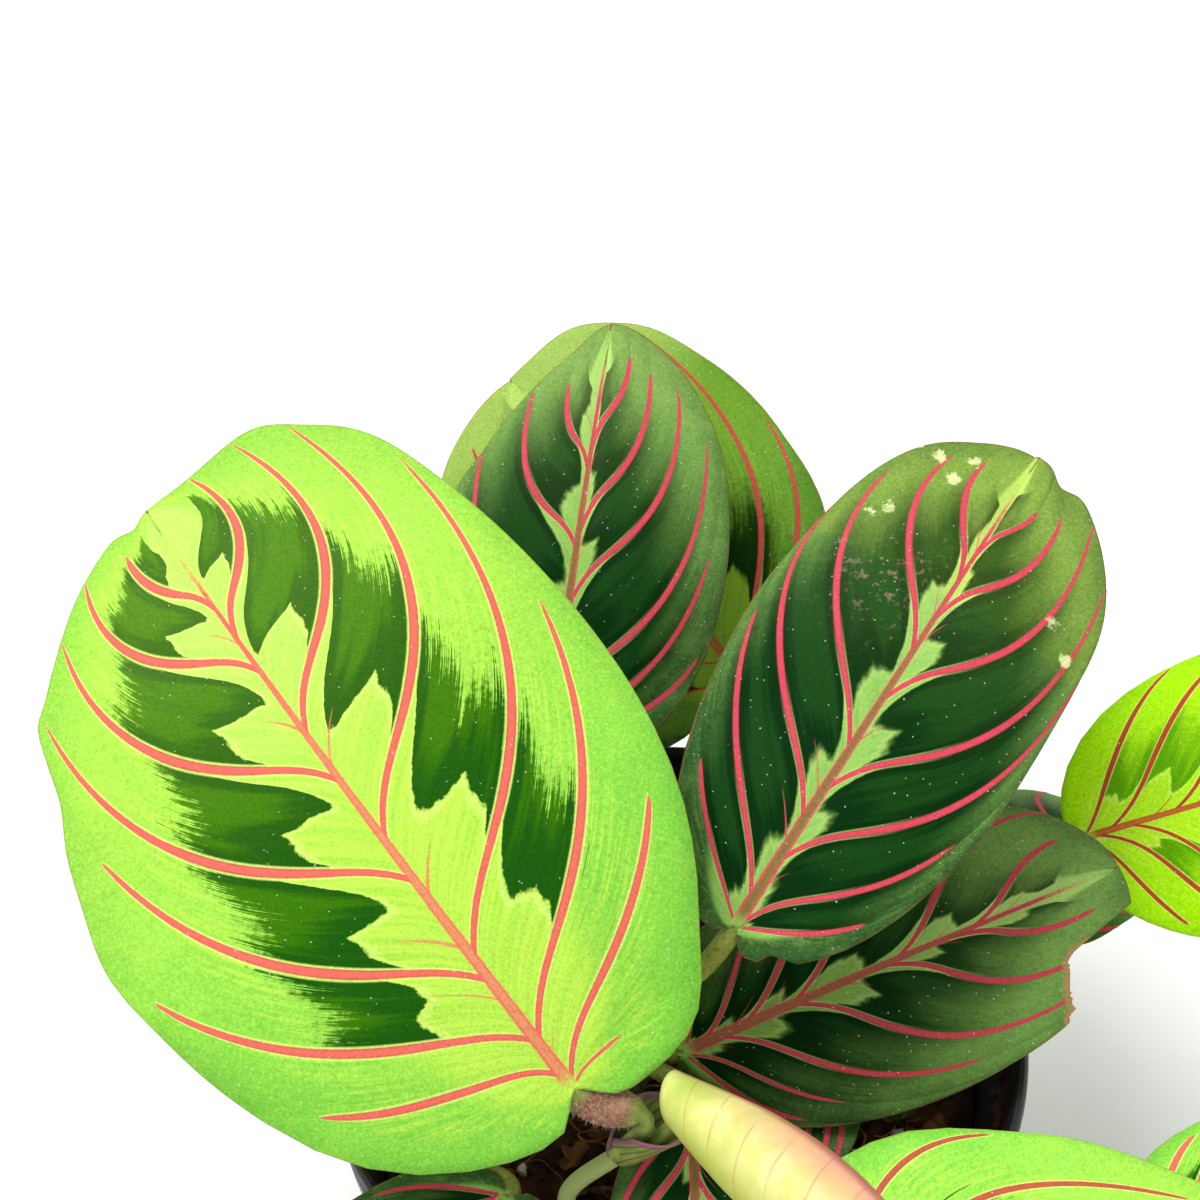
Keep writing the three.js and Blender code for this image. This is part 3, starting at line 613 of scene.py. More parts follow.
def vein_width(across, reach, widest):
    """Half the width of a side vein along its run, in millimetres: thin at both ends."""
    widest = widest * min(max(reach / 0.8, 0.4), 1)
    swell = 0.6 + 0.4 * np.clip(across / 0.25, 0, 1)
    taper = 1 - 0.6 * np.clip((across - 0.45) / 0.55, 0, 1)
    end = np.clip((reach - across) / 0.09, 0, 1) ** 0.5
    return widest * swell * taper * end


def half_rows(blade, side):
    """The rows of one half of a leaf.

    Returns flat x and y, the vein coordinate, the distance from the nearest vein in vein half widths,
    the share of the way between two veins, and what shapes each row's blotch."""
    across = np.array(COLUMNS)
    veins = blade.facts["veins"][0 if side > 0 else 1]
    stops = [0.0] + [end for _, end, _ in veins] + [1.0]
    blotches = blade.facts.get("cells", CELLS[blade.facts["kind"]])[0 if side > 0 else 1]
    widest = settings().leaves.vein / MM * blade.facts["girth"]
    tiny = 1e-3
    cells = len(stops) - 1
    shares, phases, ratios, shapes, number = [], [], [], [], []
    for cell, (low, high) in enumerate(zip(stops, stops[1:])):
        def spacing(share, step):
            here = np.array(blade.along_veins(np.full_like(across, share), across, side))
            there = np.array(blade.along_veins(np.full_like(across, share + step), across, side))
            run = np.gradient(here, across, axis=1)
            run /= np.linalg.norm(run, axis=0)
            apart = there - here
            return np.abs(apart[0] * run[1] - apart[1] * run[0]) / tiny

        step = tiny * (high - low)
        has_low = cell > 0
        has_high = cell < cells - 1
        gap_low = np.maximum(spacing(low, step), LEAST_GAP) if has_low else None
        gap_high = np.maximum(spacing(high, -step), LEAST_GAP) if has_high else None
        rows, ends = [np.full_like(across, 0.0)], []
        if has_low:
            rows = [np.minimum(k * widest / gap_low, VEIN_REACH * k / VEIN_ROWS[-1]) for k in VEIN_ROWS]
        if has_high:
            ends = [1 - np.minimum(k * widest / gap_high, VEIN_REACH * k / VEIN_ROWS[-1])
                    for k in VEIN_ROWS[:0:-1]]
        if has_low and has_high:
            start, stop = rows[-1], ends[0]
            rows += [start + (stop - start) * (i + 1) / (ROWS_BETWEEN + 1) for i in range(ROWS_BETWEEN)]
        elif has_high:
            rows += [ends[0] * (1 - share) for share in reversed(END_SHARES)]
        else:
            start = rows[-1]
            rows += [start + (1 - start) * share for share in END_SHARES]
            ends = [np.full_like(across, 1.0)]
        rows += ends
        blotch = blotches[min(cell, len(blotches) - 1)] or (0.5, 0.0, 0.4, 0.0)
        inner, lobe, outer, full = (*blotch, 1.0)[:4]
        for phase in rows:
            ratio = np.full_like(across, NO_VEIN)
            for there, vein, share, gap in ((has_low, cell - 1, phase, gap_low),
                                            (has_high, cell, 1 - phase, gap_high)):
                if there:
                    width = vein_width(across, veins[vein][2], widest)
                    near = np.minimum(ratio, share * gap / np.maximum(width, THIN_VEIN))
                    ratio = np.where(width > THIN_VEIN, near, ratio)
            shares.append(low + (high - low) * phase)
            if not has_high:
                full = full * (phase[0] < TIP_SPREAD)
                phase = np.minimum(phase / TIP_SPREAD, 0.999)
            phases.append(phase)
            ratios.append(ratio)
            shapes.append(np.repeat([[inner], [lobe], [outer], [full]], len(across), axis=1))
            number.append(np.full_like(across, cell + (0 if side > 0 else RIGHT_HALF)))
    shares, phases, ratios, shapes, number = (np.array(v) for v in (shares, phases, ratios, shapes, number))
    grid = np.repeat(across[None], len(shares), axis=0)
    x, y = blade.along_veins(shares, grid, side)
    steps = np.hypot(np.diff(x, axis=1), np.diff(y, axis=1))
    run = np.concatenate([np.zeros((len(shares), 1)), np.cumsum(steps, axis=1)], axis=1)
    run /= np.maximum(run[:, -1:], 1e-6)
    rim = shares[:, -1]
    limit = 1 - blade.half("trim", side) * (1 - np.abs(2 * rim - 1) ** 6)
    whole = limit.copy()
    for centre_x, centre_y, radius in blade.facts["bites"]:
        for sample in BITE_SAMPLES:
            rim_x, rim_y = blade.along_veins(rim, np.full(len(rim), sample), side)
            inside = (rim_x - centre_x) ** 2 + (rim_y - centre_y) ** 2 < radius**2
            limit = np.where(inside, np.minimum(limit, sample), limit)
    grid = grid * limit[:, None]
    shares, phases, ratios = (np.array([np.interp(row, across, line) for row, line in zip(grid, known)])
                              for known in (shares, phases, ratios))
    x, y = blade.along_veins(shares, grid, side)
    way = np.array([np.interp(row, across, line) for row, line in zip(grid, run)])
    blotch = dict(zip(("inner", "lobe", "outer", "patch"), np.moveaxis(shapes, 1, 0)))
    return {"x": x, "y": y, "across": grid, "way": way, "veins": number + phases, "ratio": ratios,
            "phase": phases, "limit": limit, "bitten": limit < whole,
            "along": np.clip(x / blade.length, 0, 1), **blotch}


def mark(piece, key, values):
    """Stores a number at each vertex of a piece."""
    attribute = piece.data.attributes.new(key, "FLOAT", "POINT")
    attribute.data.foreach_set("value", np.asarray(values, np.float32).ravel())


def nearest(x, y, line):
    """The distance from each point to the nearest point of a line drawn through the given points."""
    dense = []
    for start, end in zip(line, line[1:]):
        steps = max(int(np.linalg.norm(end - start) / 0.8), 1)
        dense.append(start + (end - start) * np.linspace(0, 1, steps, endpoint=False)[:, None])
    dense = np.vstack(dense)
    result = np.empty(x.size)
    flat = np.stack([x.ravel(), y.ravel()], -1)
    for start in range(0, len(flat), 2000):
        block = flat[start:start + 2000]
        result[start:start + 2000] = np.sqrt(((block[:, None] - dense[None]) ** 2).sum(-1).min(1))
    return result.reshape(x.shape)


def relief(rows, draw):
    """How far each point stands out of the smooth blade: puffed between veins, ridged along them."""
    sizes = settings().leaves
    inside = np.clip(rows["across"] / 0.12, 0, 1)
    inside = inside * np.clip((1 - rows["across"] / rows["limit"][:, None]) / 0.1, 0, 1)
    puff = sizes.puff / MM * np.sin(math.pi * np.clip(rows["phase"], 0, 1)) ** 0.8 * inside
    ridge = sizes.ridge / MM * np.exp(-((rows["ratio"] / 0.85) ** 2)) * np.clip(rows["across"] / 0.05, 0, 1)
    channel = -0.3 * np.exp(-((rows["y"] / 1.7) ** 2))
    x, y = rows["x"], rows["y"]
    uneven = sum(size * np.sin(x / wide + draw.uniform(0, 6)) * np.sin(y / wide * 1.3 + draw.uniform(0, 6))
                 for size, wide in ((0.35, 9.0), (0.16, 4.0)))
    return puff + ridge + channel + uneven * np.clip(rows["across"] / 0.3, 0, 1)


def stitch(piece, left_column, right_column):
    """Closes the narrow strip between the two halves of a leaf along the midrib."""
    edit = bmesh.new()
    edit.from_mesh(piece.data)
    edit.verts.ensure_lookup_table()
    uv = edit.loops.layers.uv.active
    left = [edit.verts[i] for i, _ in left_column]
    right = [edit.verts[i] for i, _ in right_column]
    at = [x for _, x in left_column], [x for _, x in right_column]
    known = {}
    for vert in left + right:
        known[vert] = vert.link_loops[0][uv].uv.copy()
    i = j = 0
    while i < len(left) - 1 or j < len(right) - 1:
        if j == len(right) - 1 or (i < len(left) - 1 and at[0][i + 1] <= at[1][j + 1]):
            corners = (left[i], right[j], left[i + 1])
            i += 1
        else:
            corners = (left[i], right[j], right[j + 1])
            j += 1
        face = edit.faces.new(corners)
        for loop in face.loops:
            loop[uv].uv = known[loop.vert]
    edit.to_mesh(piece.data)
    edit.free()


# Numbers that each vertex of a blade keeps for its markings
LEAF_VALUES = ("vein", "rib", "edge", "bite", "along", "inner", "lobe", "outer", "patch", "dim", "rust",
               "sun", "graze")


def add_blade(name, blade, draw):
    """The blade of a leaf as a thin closed shell, with the coordinates that its markings follow."""
    halves = {side: half_rows(blade, side) for side in (1, -1)}
    outline = np.vstack([
        np.stack([halves[1]["x"][:, -1], halves[1]["y"][:, -1]], -1),
        np.stack([halves[-1]["x"][::-1, -1], halves[-1]["y"][::-1, -1]], -1)])
    bitten = np.vstack([np.stack([rows["x"][:, -1], rows["y"][:, -1]], -1)[rows["bitten"]]
                        for rows in halves.values()])
    pieces, values = [], {key: [] for key in LEAF_VALUES}
    rib_widest = settings().leaves.midrib / MM
    columns, offset = [], 0
    for side, rows in halves.items():
        points = blade.place(rows["x"], rows["y"], relief(rows, draw))
        order = slice(None, None, -1 if side > 0 else 1)
        pieces.append(sheet(f"{name}_{side}", points[order], rows["veins"][order], rows["way"][order]))
        rib = np.abs(rows["y"]) / (rib_widest * blade.facts["midrib"] * (1 - 0.82 * rows["along"] ** 0.8))
        edge = nearest(rows["x"], rows["y"], outline)
        bite = nearest(rows["x"], rows["y"], bitten) if len(bitten) > 1 else np.full_like(edge, NO_BITE)
        found = {**rows, "vein": rows["ratio"], "rib": rib, "edge": edge, "bite": bite}
        for key in ("dim", "rust", "sun"):
            found[key] = np.full_like(edge, blade.half(key, side))
        middle_x, middle_y, wide = blade.facts["graze"]
        away = (rows["x"] - middle_x) ** 2 + (rows["y"] - middle_y) ** 2
        found["graze"] = np.exp(-away / max(wide, 0.1) ** 2)
        for key in LEAF_VALUES:
            values[key].append(found[key][order].ravel())
        count, width = rows["x"].shape
        ids = [offset + (count - 1 - row if side > 0 else row) * width for row in range(count)]
        columns.append(list(zip(ids, rows["x"][:, 0])))
        offset += count * width
    piece = joined(name, pieces)
    for key, value in values.items():
        mark(piece, key, np.concatenate(value))
    stitch(piece, *columns)
    merge_close(piece, 0.01)
    bpy.ops.object.shade_smooth()
    thicken(piece, settings().leaves.thickness, 0, under=1)
    return piece


def socket_of(shoot, index):
    """The mouth and bottom of the place where a leaf stalk stands in its shoot, and the way it opens."""
    route = shoot_route(shoot)
    axis = unit(route[-1] - route[-2])
    bearing = math.radians(shoot["turn"] + 120 * index)
    out = np.array([math.cos(bearing), math.sin(bearing), 0])
    mouth = np.array(shoot["top"], float) + SOCKET_CIRCLE * out
    return axis, mouth, mouth - SOCKET_DEPTH * axis


def shoot_route(shoot, steps=8):
    """A shoot's route from the potting mix to the mouth of its sheath."""
    return smooth_route([(*shoot["foot"], SOIL_LEVEL), *shoot.get("via", ()), shoot["top"]], steps)


def stalk_route(facts, end, lead):
    """A leaf stalk's route from its shoot to where it arrives in the direction lead."""
    axis, mouth, bottom = socket_of(SHOOTS[facts["shoot"]], facts["socket"])
    reach = np.linalg.norm(end - mouth)
    bends = (mouth, mouth + axis * facts.get("rise", 0.4) * reach, end - lead * 0.4 * reach, end)
    t = np.linspace(0, 1, 22)[:, None]
    curve = ((1 - t) ** 3 * bends[0] + 3 * (1 - t) ** 2 * t * bends[1] + 3 * (1 - t) * t**2 * bends[2]
             + t**3 * bends[3])
    return np.vstack([bottom[None], (bottom + mouth)[None] / 2, curve])


def stalk_shape(blade):
    """A leaf stalk's route, radii, swelling and run, as it meets the blade from below."""
    sizes = settings().leaves
    stalk, swelling = sizes.stalk / MM, blade.facts.get("swelling", sizes.swelling / MM)
    lead = blade.forward * math.cos(blade.bend / 2) + blade.normal * math.sin(blade.bend / 2)
    route = stalk_route(blade.facts, blade.base - (stalk + 0.3) * blade.normal, lead)
    run = run_along(route)
    swell = np.clip(1 - np.abs(run[-1] - run - 5) / 7.0, 0, 1) ** 0.7
    extra = (swelling - stalk) * np.sin(swell * math.pi / 2)
    return route - 0.8 * extra[:, None] * blade.normal, stalk + extra, swell, run


def add_stalk(name, blade):
    """A leaf stalk with the swelling at its top, and the midrib that it runs out into under the blade."""
    route, radii, swell, run = stalk_shape(blade)
    along = np.linspace(0.02, 0.93, 26)
    rib = 1.0 * (1 - along) ** 0.75 + 0.12
    under = blade.place(along * blade.length, np.zeros_like(along), -rib - 0.35)
    values = {"swell": np.concatenate([swell, 0 * along]), "rise": np.concatenate([run / run[-1], 1 + along])}
    return tube(name, np.vstack([route, under]), np.concatenate([radii, rib]), values=values)


def add_leaf(name, facts, draw):
    """One leaf: blade, stalk and swelling in one piece."""
    blade = Blade(facts)
    piece = add_blade(f"prayer_leaf_{name}", blade, draw)
    stalk = add_stalk("stalk", blade)
    kind = facts["kind"]
    for face, paint in (("top", paint_leaf_top), ("under", paint_leaf_under)):
        piece.data.materials.append(shared(f"leaf_{kind}_{face}", paint, kind))
    hairy = ("hairy_stalk", (120, 76, 56), (190, 146, 116)) if kind == "bright" else ()
    stalk.data.materials.append(stalk_material(*hairy))
    piece = joined(piece.name, (piece, stalk))
    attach(piece, "root")
    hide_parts(f"leaf_{name}")


def turned(name, profile, sides):
    """A round piece drawn out ring by ring from a circle along a profile of radii and heights."""
    radius, height = profile[0]
    deselect()
    bpy.ops.mesh.primitive_circle_add(vertices=sides, radius=radius * MM, location=(0, 0, height * MM))
    piece = bpy.context.object
    piece.name = name
    bpy.ops.object.mode_set(mode="EDIT")
    bpy.ops.mesh.select_all(action="SELECT")
    for (inner, low), (outer, high) in zip(profile, profile[1:]):
        bpy.ops.mesh.extrude_region_move(TRANSFORM_OT_translate={"value": (0, 0, (high - low) * MM)})
        share = outer / inner
        bpy.ops.transform.resize(value=(share, share, 1), center_override=(0, 0, 0))
    bpy.ops.mesh.select_all(action="SELECT")
    bpy.ops.mesh.remove_doubles(threshold=0.06 * MM)
    bpy.ops.mesh.normals_make_consistent(inside=False)
    bpy.ops.object.mode_set(mode="OBJECT")
    bpy.ops.object.transform_apply(location=True, rotation=True, scale=True)
    return piece


def add_pot():
    """The nursery pot with its rolled rim, stepped band and drain holes."""
    pot = turned("nursery_pot", POT_PROFILE, POT_SIDES)
    cutters = []
    for hole in range(DRAIN_HOLES):
        bearing = 2 * math.pi * hole / DRAIN_HOLES
        deselect()
        bpy.ops.mesh.primitive_cylinder_add(
            vertices=32, radius=DRAIN_RADIUS * MM, depth=8 * MM,
            location=(DRAIN_CIRCLE * MM * math.cos(bearing), DRAIN_CIRCLE * MM * math.sin(bearing), 1 * MM))
        cutters.append(bpy.context.object)
    cutter = joined("drain_holes", cutters)
    choose(pot)
    cut = pot.modifiers.new("drain", "BOOLEAN")
    cut.object = cutter
    cut.operation = "DIFFERENCE"
    cut.solver = "EXACT"
    bpy.ops.object.modifier_apply(modifier=cut.name)
    delete(cutter)
    choose(pot)
    bpy.ops.object.shade_smooth_by_angle(angle=math.radians(38))
    pot.data.materials.append(finished("black_plastic", paint_pot))
    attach(pot, "root")
    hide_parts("pot")


def soil_height(x, y):
    """The height of the potting mix at a place in millimetres."""
    share = (x * x + y * y) / SOIL_RADIUS**2
    lumps = math.sin(0.31 * x + 1.3) * math.sin(0.27 * y + 0.4) + 0.6 * math.sin(0.55 * x - 0.43 * y)
    crumbs = noise.fractal(Vector((x, y, 3.0)) * 0.16, 0.7, 2.0, 5)
    return SOIL_LEVEL - 1 + SOIL_RISE * (1 - share) + SOIL_LUMP * lumps + 1.1 * crumbs


def add_soil():
    """The body of the potting mix, with an uneven top."""
    radii, heights = [0.0, SOIL_FOOT_RADIUS * 0.5, SOIL_FOOT_RADIUS], [SOIL_FOOT] * 3
    rise = np.linspace(0, 1, 8)[1:]
    radii += list(SOIL_FOOT_RADIUS + (SOIL_RADIUS - SOIL_FOOT_RADIUS) * rise)
    heights += list(SOIL_FOOT + (SOIL_LEVEL - 2.5 - SOIL_FOOT) * rise)
    below = len(radii)
    radii += list(SOIL_RADIUS * np.sqrt(np.linspace(0.998, 0, SOIL_RINGS)))
    heights += [0.0] * SOIL_RINGS
    turn = np.linspace(0, 2 * math.pi, SOIL_SECTORS + 1)
    points = np.empty((len(radii), len(turn), 3))
    points[..., 0] = np.outer(radii, np.cos(turn))
    points[..., 1] = np.outer(radii, np.sin(turn))
    points[..., 2] = np.array(heights)[:, None]
    for row in range(below, len(radii)):
        for column in range(SOIL_SECTORS):
            points[row, column, 2] = soil_height(*points[row, column, :2])
        points[row, -1] = points[row, 0]
    soil = sheet("potting_mix", points)
    merge_close(soil, 0.004)
    bpy.ops.object.shade_smooth()
    soil.data.materials.append(grainy_material("peat", srgb(38, 24, 16), srgb(84, 56, 36), 380, 0.95, 0.0012))
    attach(soil, "root")
    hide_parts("soil")


def lump(name, sizes, draw, rough, subdivisions):
    """One uneven crumb of the given sizes in millimetres."""
    deselect()
    bpy.ops.mesh.primitive_ico_sphere_add(subdivisions=subdivisions, radius=0.5)
    piece = bpy.context.object
    piece.name = name
    shift = Vector((draw.uniform(0, 50), draw.uniform(0, 50), draw.uniform(0, 50)))
    for vertex in piece.data.vertices:
        broad, fine = (noise.noise(vertex.co * often + shift) for often in (2.6, 6))
        uneven = 1 + rough * broad + 0.4 * rough * fine
        vertex.co = Vector([value * size * MM * uneven for value, size in zip(vertex.co, sizes)])
    return piece


def scatter(name, models, count, draw, spread, material, sink=0.3, clear=0.0):
    """Copies of some models strewn over the potting mix and joined in one piece.

    spread gives the least and greatest distance from the middle, sink how far a copy's middle stands above
    the mix as a share of its height, and clear how far it keeps off the shoots."""
    copies = []
    while len(copies) < count:
        far = math.sqrt(draw.uniform(spread[0] ** 2, spread[1] ** 2))
        bearing = draw.uniform(0, 2 * math.pi)
        x, y = far * math.cos(bearing), far * math.sin(bearing)
        if any(math.dist((x, y), shoot["foot"]) < clear for shoot in SHOOTS.values()):
            continue
        model = draw.choice(models)
        copy = copy_of(model)
        size = draw.uniform(*LITTER_SIZES)
        deep = 2 * max(vertex.co.z for vertex in model.data.vertices) / MM * size * sink
        copy.location = (x * MM, y * MM, (soil_height(x, y) + deep) * MM)
        copy.rotation_euler = (draw.gauss(0, LITTER_TILT), draw.gauss(0, LITTER_TILT),
                               draw.uniform(0, 2 * math.pi))
        copy.scale = (size, size, size)
        copies.append(copy)
    delete(*models)
    piece = joined(name, copies)
    bpy.ops.object.transform_apply(location=True, rotation=True, scale=True)
    bpy.ops.object.shade_smooth_by_angle(angle=math.radians(50))
    piece.data.materials.append(material)
    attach(piece, "root")


def add_litter(draw):
    """Bark, peat crumbs, perlite and fibres on the potting mix."""
    def lumps(name, count, rough, subdivisions, *ranges):
        return [lump(name, [draw.uniform(*limits) for limits in ranges], draw, rough, subdivisions)
                for _ in range(count)]

    chips = lumps("chip", 4, 0.45, 2, (5, 9), (2.6, 4.6), (1.2, 2.2))
    bark = grainy_material("bark", srgb(64, 36, 20), srgb(142, 92, 56), 420, 0.85, 0.0006)
    scatter("bark_chips", chips, CHIPS, draw, (0, 52), bark, clear=4)
    crumbs = lumps("crumb", 4, 0.5, 1, (1.6, 3.2), (1.6, 2.6), (1.2, 2))
    peat = grainy_material("crumbs", srgb(30, 18, 12), srgb(92, 62, 40), 700, 0.95, 0.0005)
    scatter("peat_crumbs", crumbs, CRUMBS, draw, (0, 54.5), peat, sink=0.15)
    grains = lumps("grain", 3, 0.5, 2, (1.6, 3), (1.6, 2.6), (1.4, 2.4))
    white = grainy_material("perlite", srgb(196, 190, 178), srgb(240, 238, 230), 900, 0.9, 0.0003)
    scatter("perlite", grains, PERLITE_GRAINS, draw, (0, 53), white, sink=0.25)
    threads = []
    for _ in range(FIBRES):
        far, bearing = 55 * math.sqrt(draw.random()), draw.uniform(0, 2 * math.pi)
        x, y = far * math.cos(bearing), far * math.sin(bearing)
        heading, route = draw.uniform(0, 2 * math.pi), []
        size = draw.uniform(0.10, 0.32)
        for _ in range(draw.randint(5, 9)):
            if math.hypot(x, y) > 55:
                break
            route.append((x, y, soil_height(x, y) + draw.uniform(0.3, 1.8)))
            heading += draw.gauss(0, 0.5)
            x += 1.6 * math.cos(heading)
            y += 1.6 * math.sin(heading)
        if len(route) > 3:
            route = smooth_route(route, 2)
            threads.append(tube("thread", route, np.full(len(route), size), 5))
    piece = joined("fibres", threads)
    piece.data.materials.append(
        grainy_material("fibres", srgb(110, 66, 30), srgb(176, 124, 64), 900, 0.8, 0.0002))
    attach(piece, "root")


def scroll(name, centres, first, second, radii, start, turn, lap, across, thickness, light, slant):
    """A sheet rolled round a row of centres.

    first and second are directions square to the row, start and turn say at what angle the sheet
    begins and how far it goes round at each centre, lap is how far its outer end lies outside.
    Its vertices keep how far they face the direction light, and its foot is cut on a slant, so that
    the side that faces light starts earlier."""
    share = np.linspace(0, 1, across)[None]
    angle = start[:, None] + turn[:, None] * share
    away = radii[:, None] + lap[:, None] * (share - 1)
    points = (centres[:, None] + (away * np.cos(angle))[..., None] * first[:, None]
              + (away * np.sin(angle))[..., None] * second[:, None])
    rows = np.repeat(np.linspace(0, 1, len(centres))[:, None], across, axis=1)
    facing = (points - centres[:, None]) @ np.array(light) / away
    ahead = np.cross(second, first)[:, None]
    points -= (slant * (1 - rows) ** 8 * facing)[..., None] * ahead
    piece = sheet(name, points, np.repeat(share, len(centres), axis=0), rows)
    mark(piece, "facing", facing)
    bpy.ops.object.shade_smooth()
    thicken(piece, thickness * MM, -1)
    return piece


def add_sheath(shoot):
    """The open sheath at the top of a shoot, highest behind and split in front."""
    axis, _, _ = socket_of(shoot, 0)
    girth = shoot.get("girth", STEM_RADIUS)
    facing = math.radians(shoot["turn"] + 60)
    side = np.cross(unit(np.cross(axis, (math.sin(facing), -math.cos(facing), 0))), axis)
    other = np.cross(axis, side)
    t = np.linspace(0, 1, SHEATH_ROWS)[:, None]
    u = np.linspace(-1, 1, SHEATH_COLUMNS)[None]
    ease = t * t * (3 - 2 * t)
    angle = math.pi + u * math.pi * (1.14 - 0.36 * ease)
    lip = 5.0 * (1 - np.abs(u) ** 1.5) - 1.5
    reach = shoot.get("sheath", SHEATH_LENGTH)
    height = -reach + t * (reach + lip)
    flare = 0.5 * t**6 * (1 - np.abs(u))
    away = girth + 0.3 + (SHEATH_RADIUS - girth - 0.3) * t**0.65 + 0.22 * u + flare
    points = (np.array(shoot["top"], float) + height[..., None] * axis
              + (away * np.cos(angle))[..., None] * side + (away * np.sin(angle))[..., None] * other)
    sheath = sheet("sheath", points, np.repeat((u + 1) / 2, SHEATH_ROWS, axis=0),
                   np.repeat(t, SHEATH_COLUMNS, axis=1))
    bpy.ops.object.shade_smooth()
    thicken(sheath, SHEATH_WALL * MM, 0)
    return sheath


def add_shoot(name, shoot):
    """One shoot: its stem with two joints, and the sheath that its leaf stalks come out of.

    The stem has the frame's own plain material."""
    girth = shoot.get("girth", STEM_RADIUS)
    route = np.vstack([[(*shoot["foot"], SOIL_LEVEL - STEM_DEPTH)], shoot_route(shoot, 14)])
    run = run_along(route)
    low, high = JOINT_PLACES
    joint = JOINT_RISE * sum(np.exp(-((away / JOINT_WIDTH) ** 2))
                             for away in (run[-1] - run - high, run - low))
    stem = tube("stem", route[:-2], (girth + joint)[:-2], 16)
    sheath = add_sheath(shoot)
    stem.data.materials.append(bpy.data.materials["green_stem"])
    sheath.data.materials.append(shared("sheath", paint_sheath))
    stem = joined(f"shoot_{name}_stem", (stem, sheath))
    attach(stem, "root")
    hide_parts(f"shoot_{name}")


def add_new_leaf():
    """The new leaf, rolled round itself, on its stalk."""
    base, tip = np.array(NEW_LEAF["base"], float), np.array(NEW_LEAF["tip"], float)
    along = np.linspace(0, 1, 70)
    up = np.array([0, 0, 1.0])
    rise = 4 * NEW_LEAF["arch"] * along * (1 - along)
    centres = base + along[:, None] * (tip - base) + rise[:, None] * up
    known = NEW_LEAF["radii"]
    radii = np.interp(along, np.linspace(0, 1, len(known)), known)
    kernel = np.hanning(9) / np.hanning(9).sum()
    radii = np.convolve(np.pad(radii, 4, mode="edge"), kernel, mode="valid")
    ahead = unit(np.gradient(centres, axis=0))
    first = unit(np.cross(ahead, up))
    second = np.cross(first, ahead)
    edge = np.radians(150 + 55 * along + 4 * np.sin(9 * along))
    turn = np.full_like(along, 2 * math.pi * NEW_LEAF_TURNS)
    leaf = scroll("prayer_leaf_new", centres, first, second, radii, edge - turn, turn, 0.34 * radii, 84,
                  NEW_LEAF_SHEET, NEW_LEAF["light"], NEW_LEAF["slant"])
    route = stalk_route(NEW_LEAF, base + 2 * ahead[0], ahead[0])
    plain = np.zeros(len(route))
    stalk = tube("stalk", route, plain + NEW_LEAF_STALK, values={"swell": plain, "rise": plain})
    leaf.data.materials.append(finished("new_leaf", paint_new_leaf))
    stalk.data.materials.append(stalk_material())
    leaf = joined(leaf.name, (leaf, stalk))
    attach(leaf, "root")
    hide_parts("leaf_furled")


def add_hairs(draw):
    """Short hairs on the swelling below the largest leaf."""
    route, radii, swell, _ = stalk_shape(Blade(LEAVES["front_large"]))
    hairy = np.flatnonzero(swell > 0.2)
    deselect()
    bpy.ops.mesh.primitive_cone_add(vertices=3, radius1=HAIR_RADIUS * MM, radius2=0, depth=HAIR_LENGTH * MM,
                                    location=(0, 0, HAIR_LENGTH / 2 * MM))
    model = bpy.context.object
    bpy.ops.object.transform_apply(location=True, rotation=True, scale=True)
    hairs = []
    for _ in range(HAIRS):
        index = min(draw.choice(hairy), len(route) - 2)
        ahead = route[index + 1] - route[index]
        close = route[index] + ahead * draw.random()
        ahead = unit(ahead)
        side = unit(np.cross(ahead, (0.2, 0.5, 1)))
        other = np.cross(ahead, side)
        bearing = draw.uniform(0, 2 * math.pi)
        out = math.cos(bearing) * side + math.sin(bearing) * other
        lean = Vector(out + ahead * draw.uniform(-0.7, 0.5) + side * draw.uniform(-0.3, 0.3))
        copy = copy_of(model)
        copy.location = Vector(close + out * (radii[index] - 0.1)) * MM
        copy.rotation_euler = lean.to_track_quat("Z", "Y").to_euler()
        copy.scale = (1, 1, draw.uniform(0.45, 1.15))
        hairs.append(copy)
    delete(model)
    piece = joined("stalk_hairs", hairs)
    bpy.ops.object.transform_apply(location=True, rotation=True, scale=True)
    piece.data.materials.append(
        grainy_material("hairs", srgb(180, 150, 130), srgb(232, 214, 200), 900, 0.6, 0.0))
    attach(piece, "root")


class Value:
    """What a node gives out. Sums, products and comparisons of values each add a math node."""

    def __init__(self, nodes, socket):
        self.nodes = nodes
        self.socket = socket

    def __add__(self, other):
        return self.nodes.math("ADD", self, other)

    def __sub__(self, other):
        return self.nodes.math("SUBTRACT", self, other)

    def __rsub__(self, other):
        return self.nodes.math("SUBTRACT", other, self)

    def __mul__(self, other):
        return self.nodes.math("MULTIPLY", self, other)

    def __truediv__(self, other):
        return self.nodes.math("DIVIDE", self, other)

    def __gt__(self, other):
        return self.nodes.math("GREATER_THAN", self, other)

    def __lt__(self, other):
        return self.nodes.math("LESS_THAN", self, other)

    def __abs__(self):
        return self.nodes.math("ABSOLUTE", self)

    __radd__ = __add__
    __rmul__ = __mul__


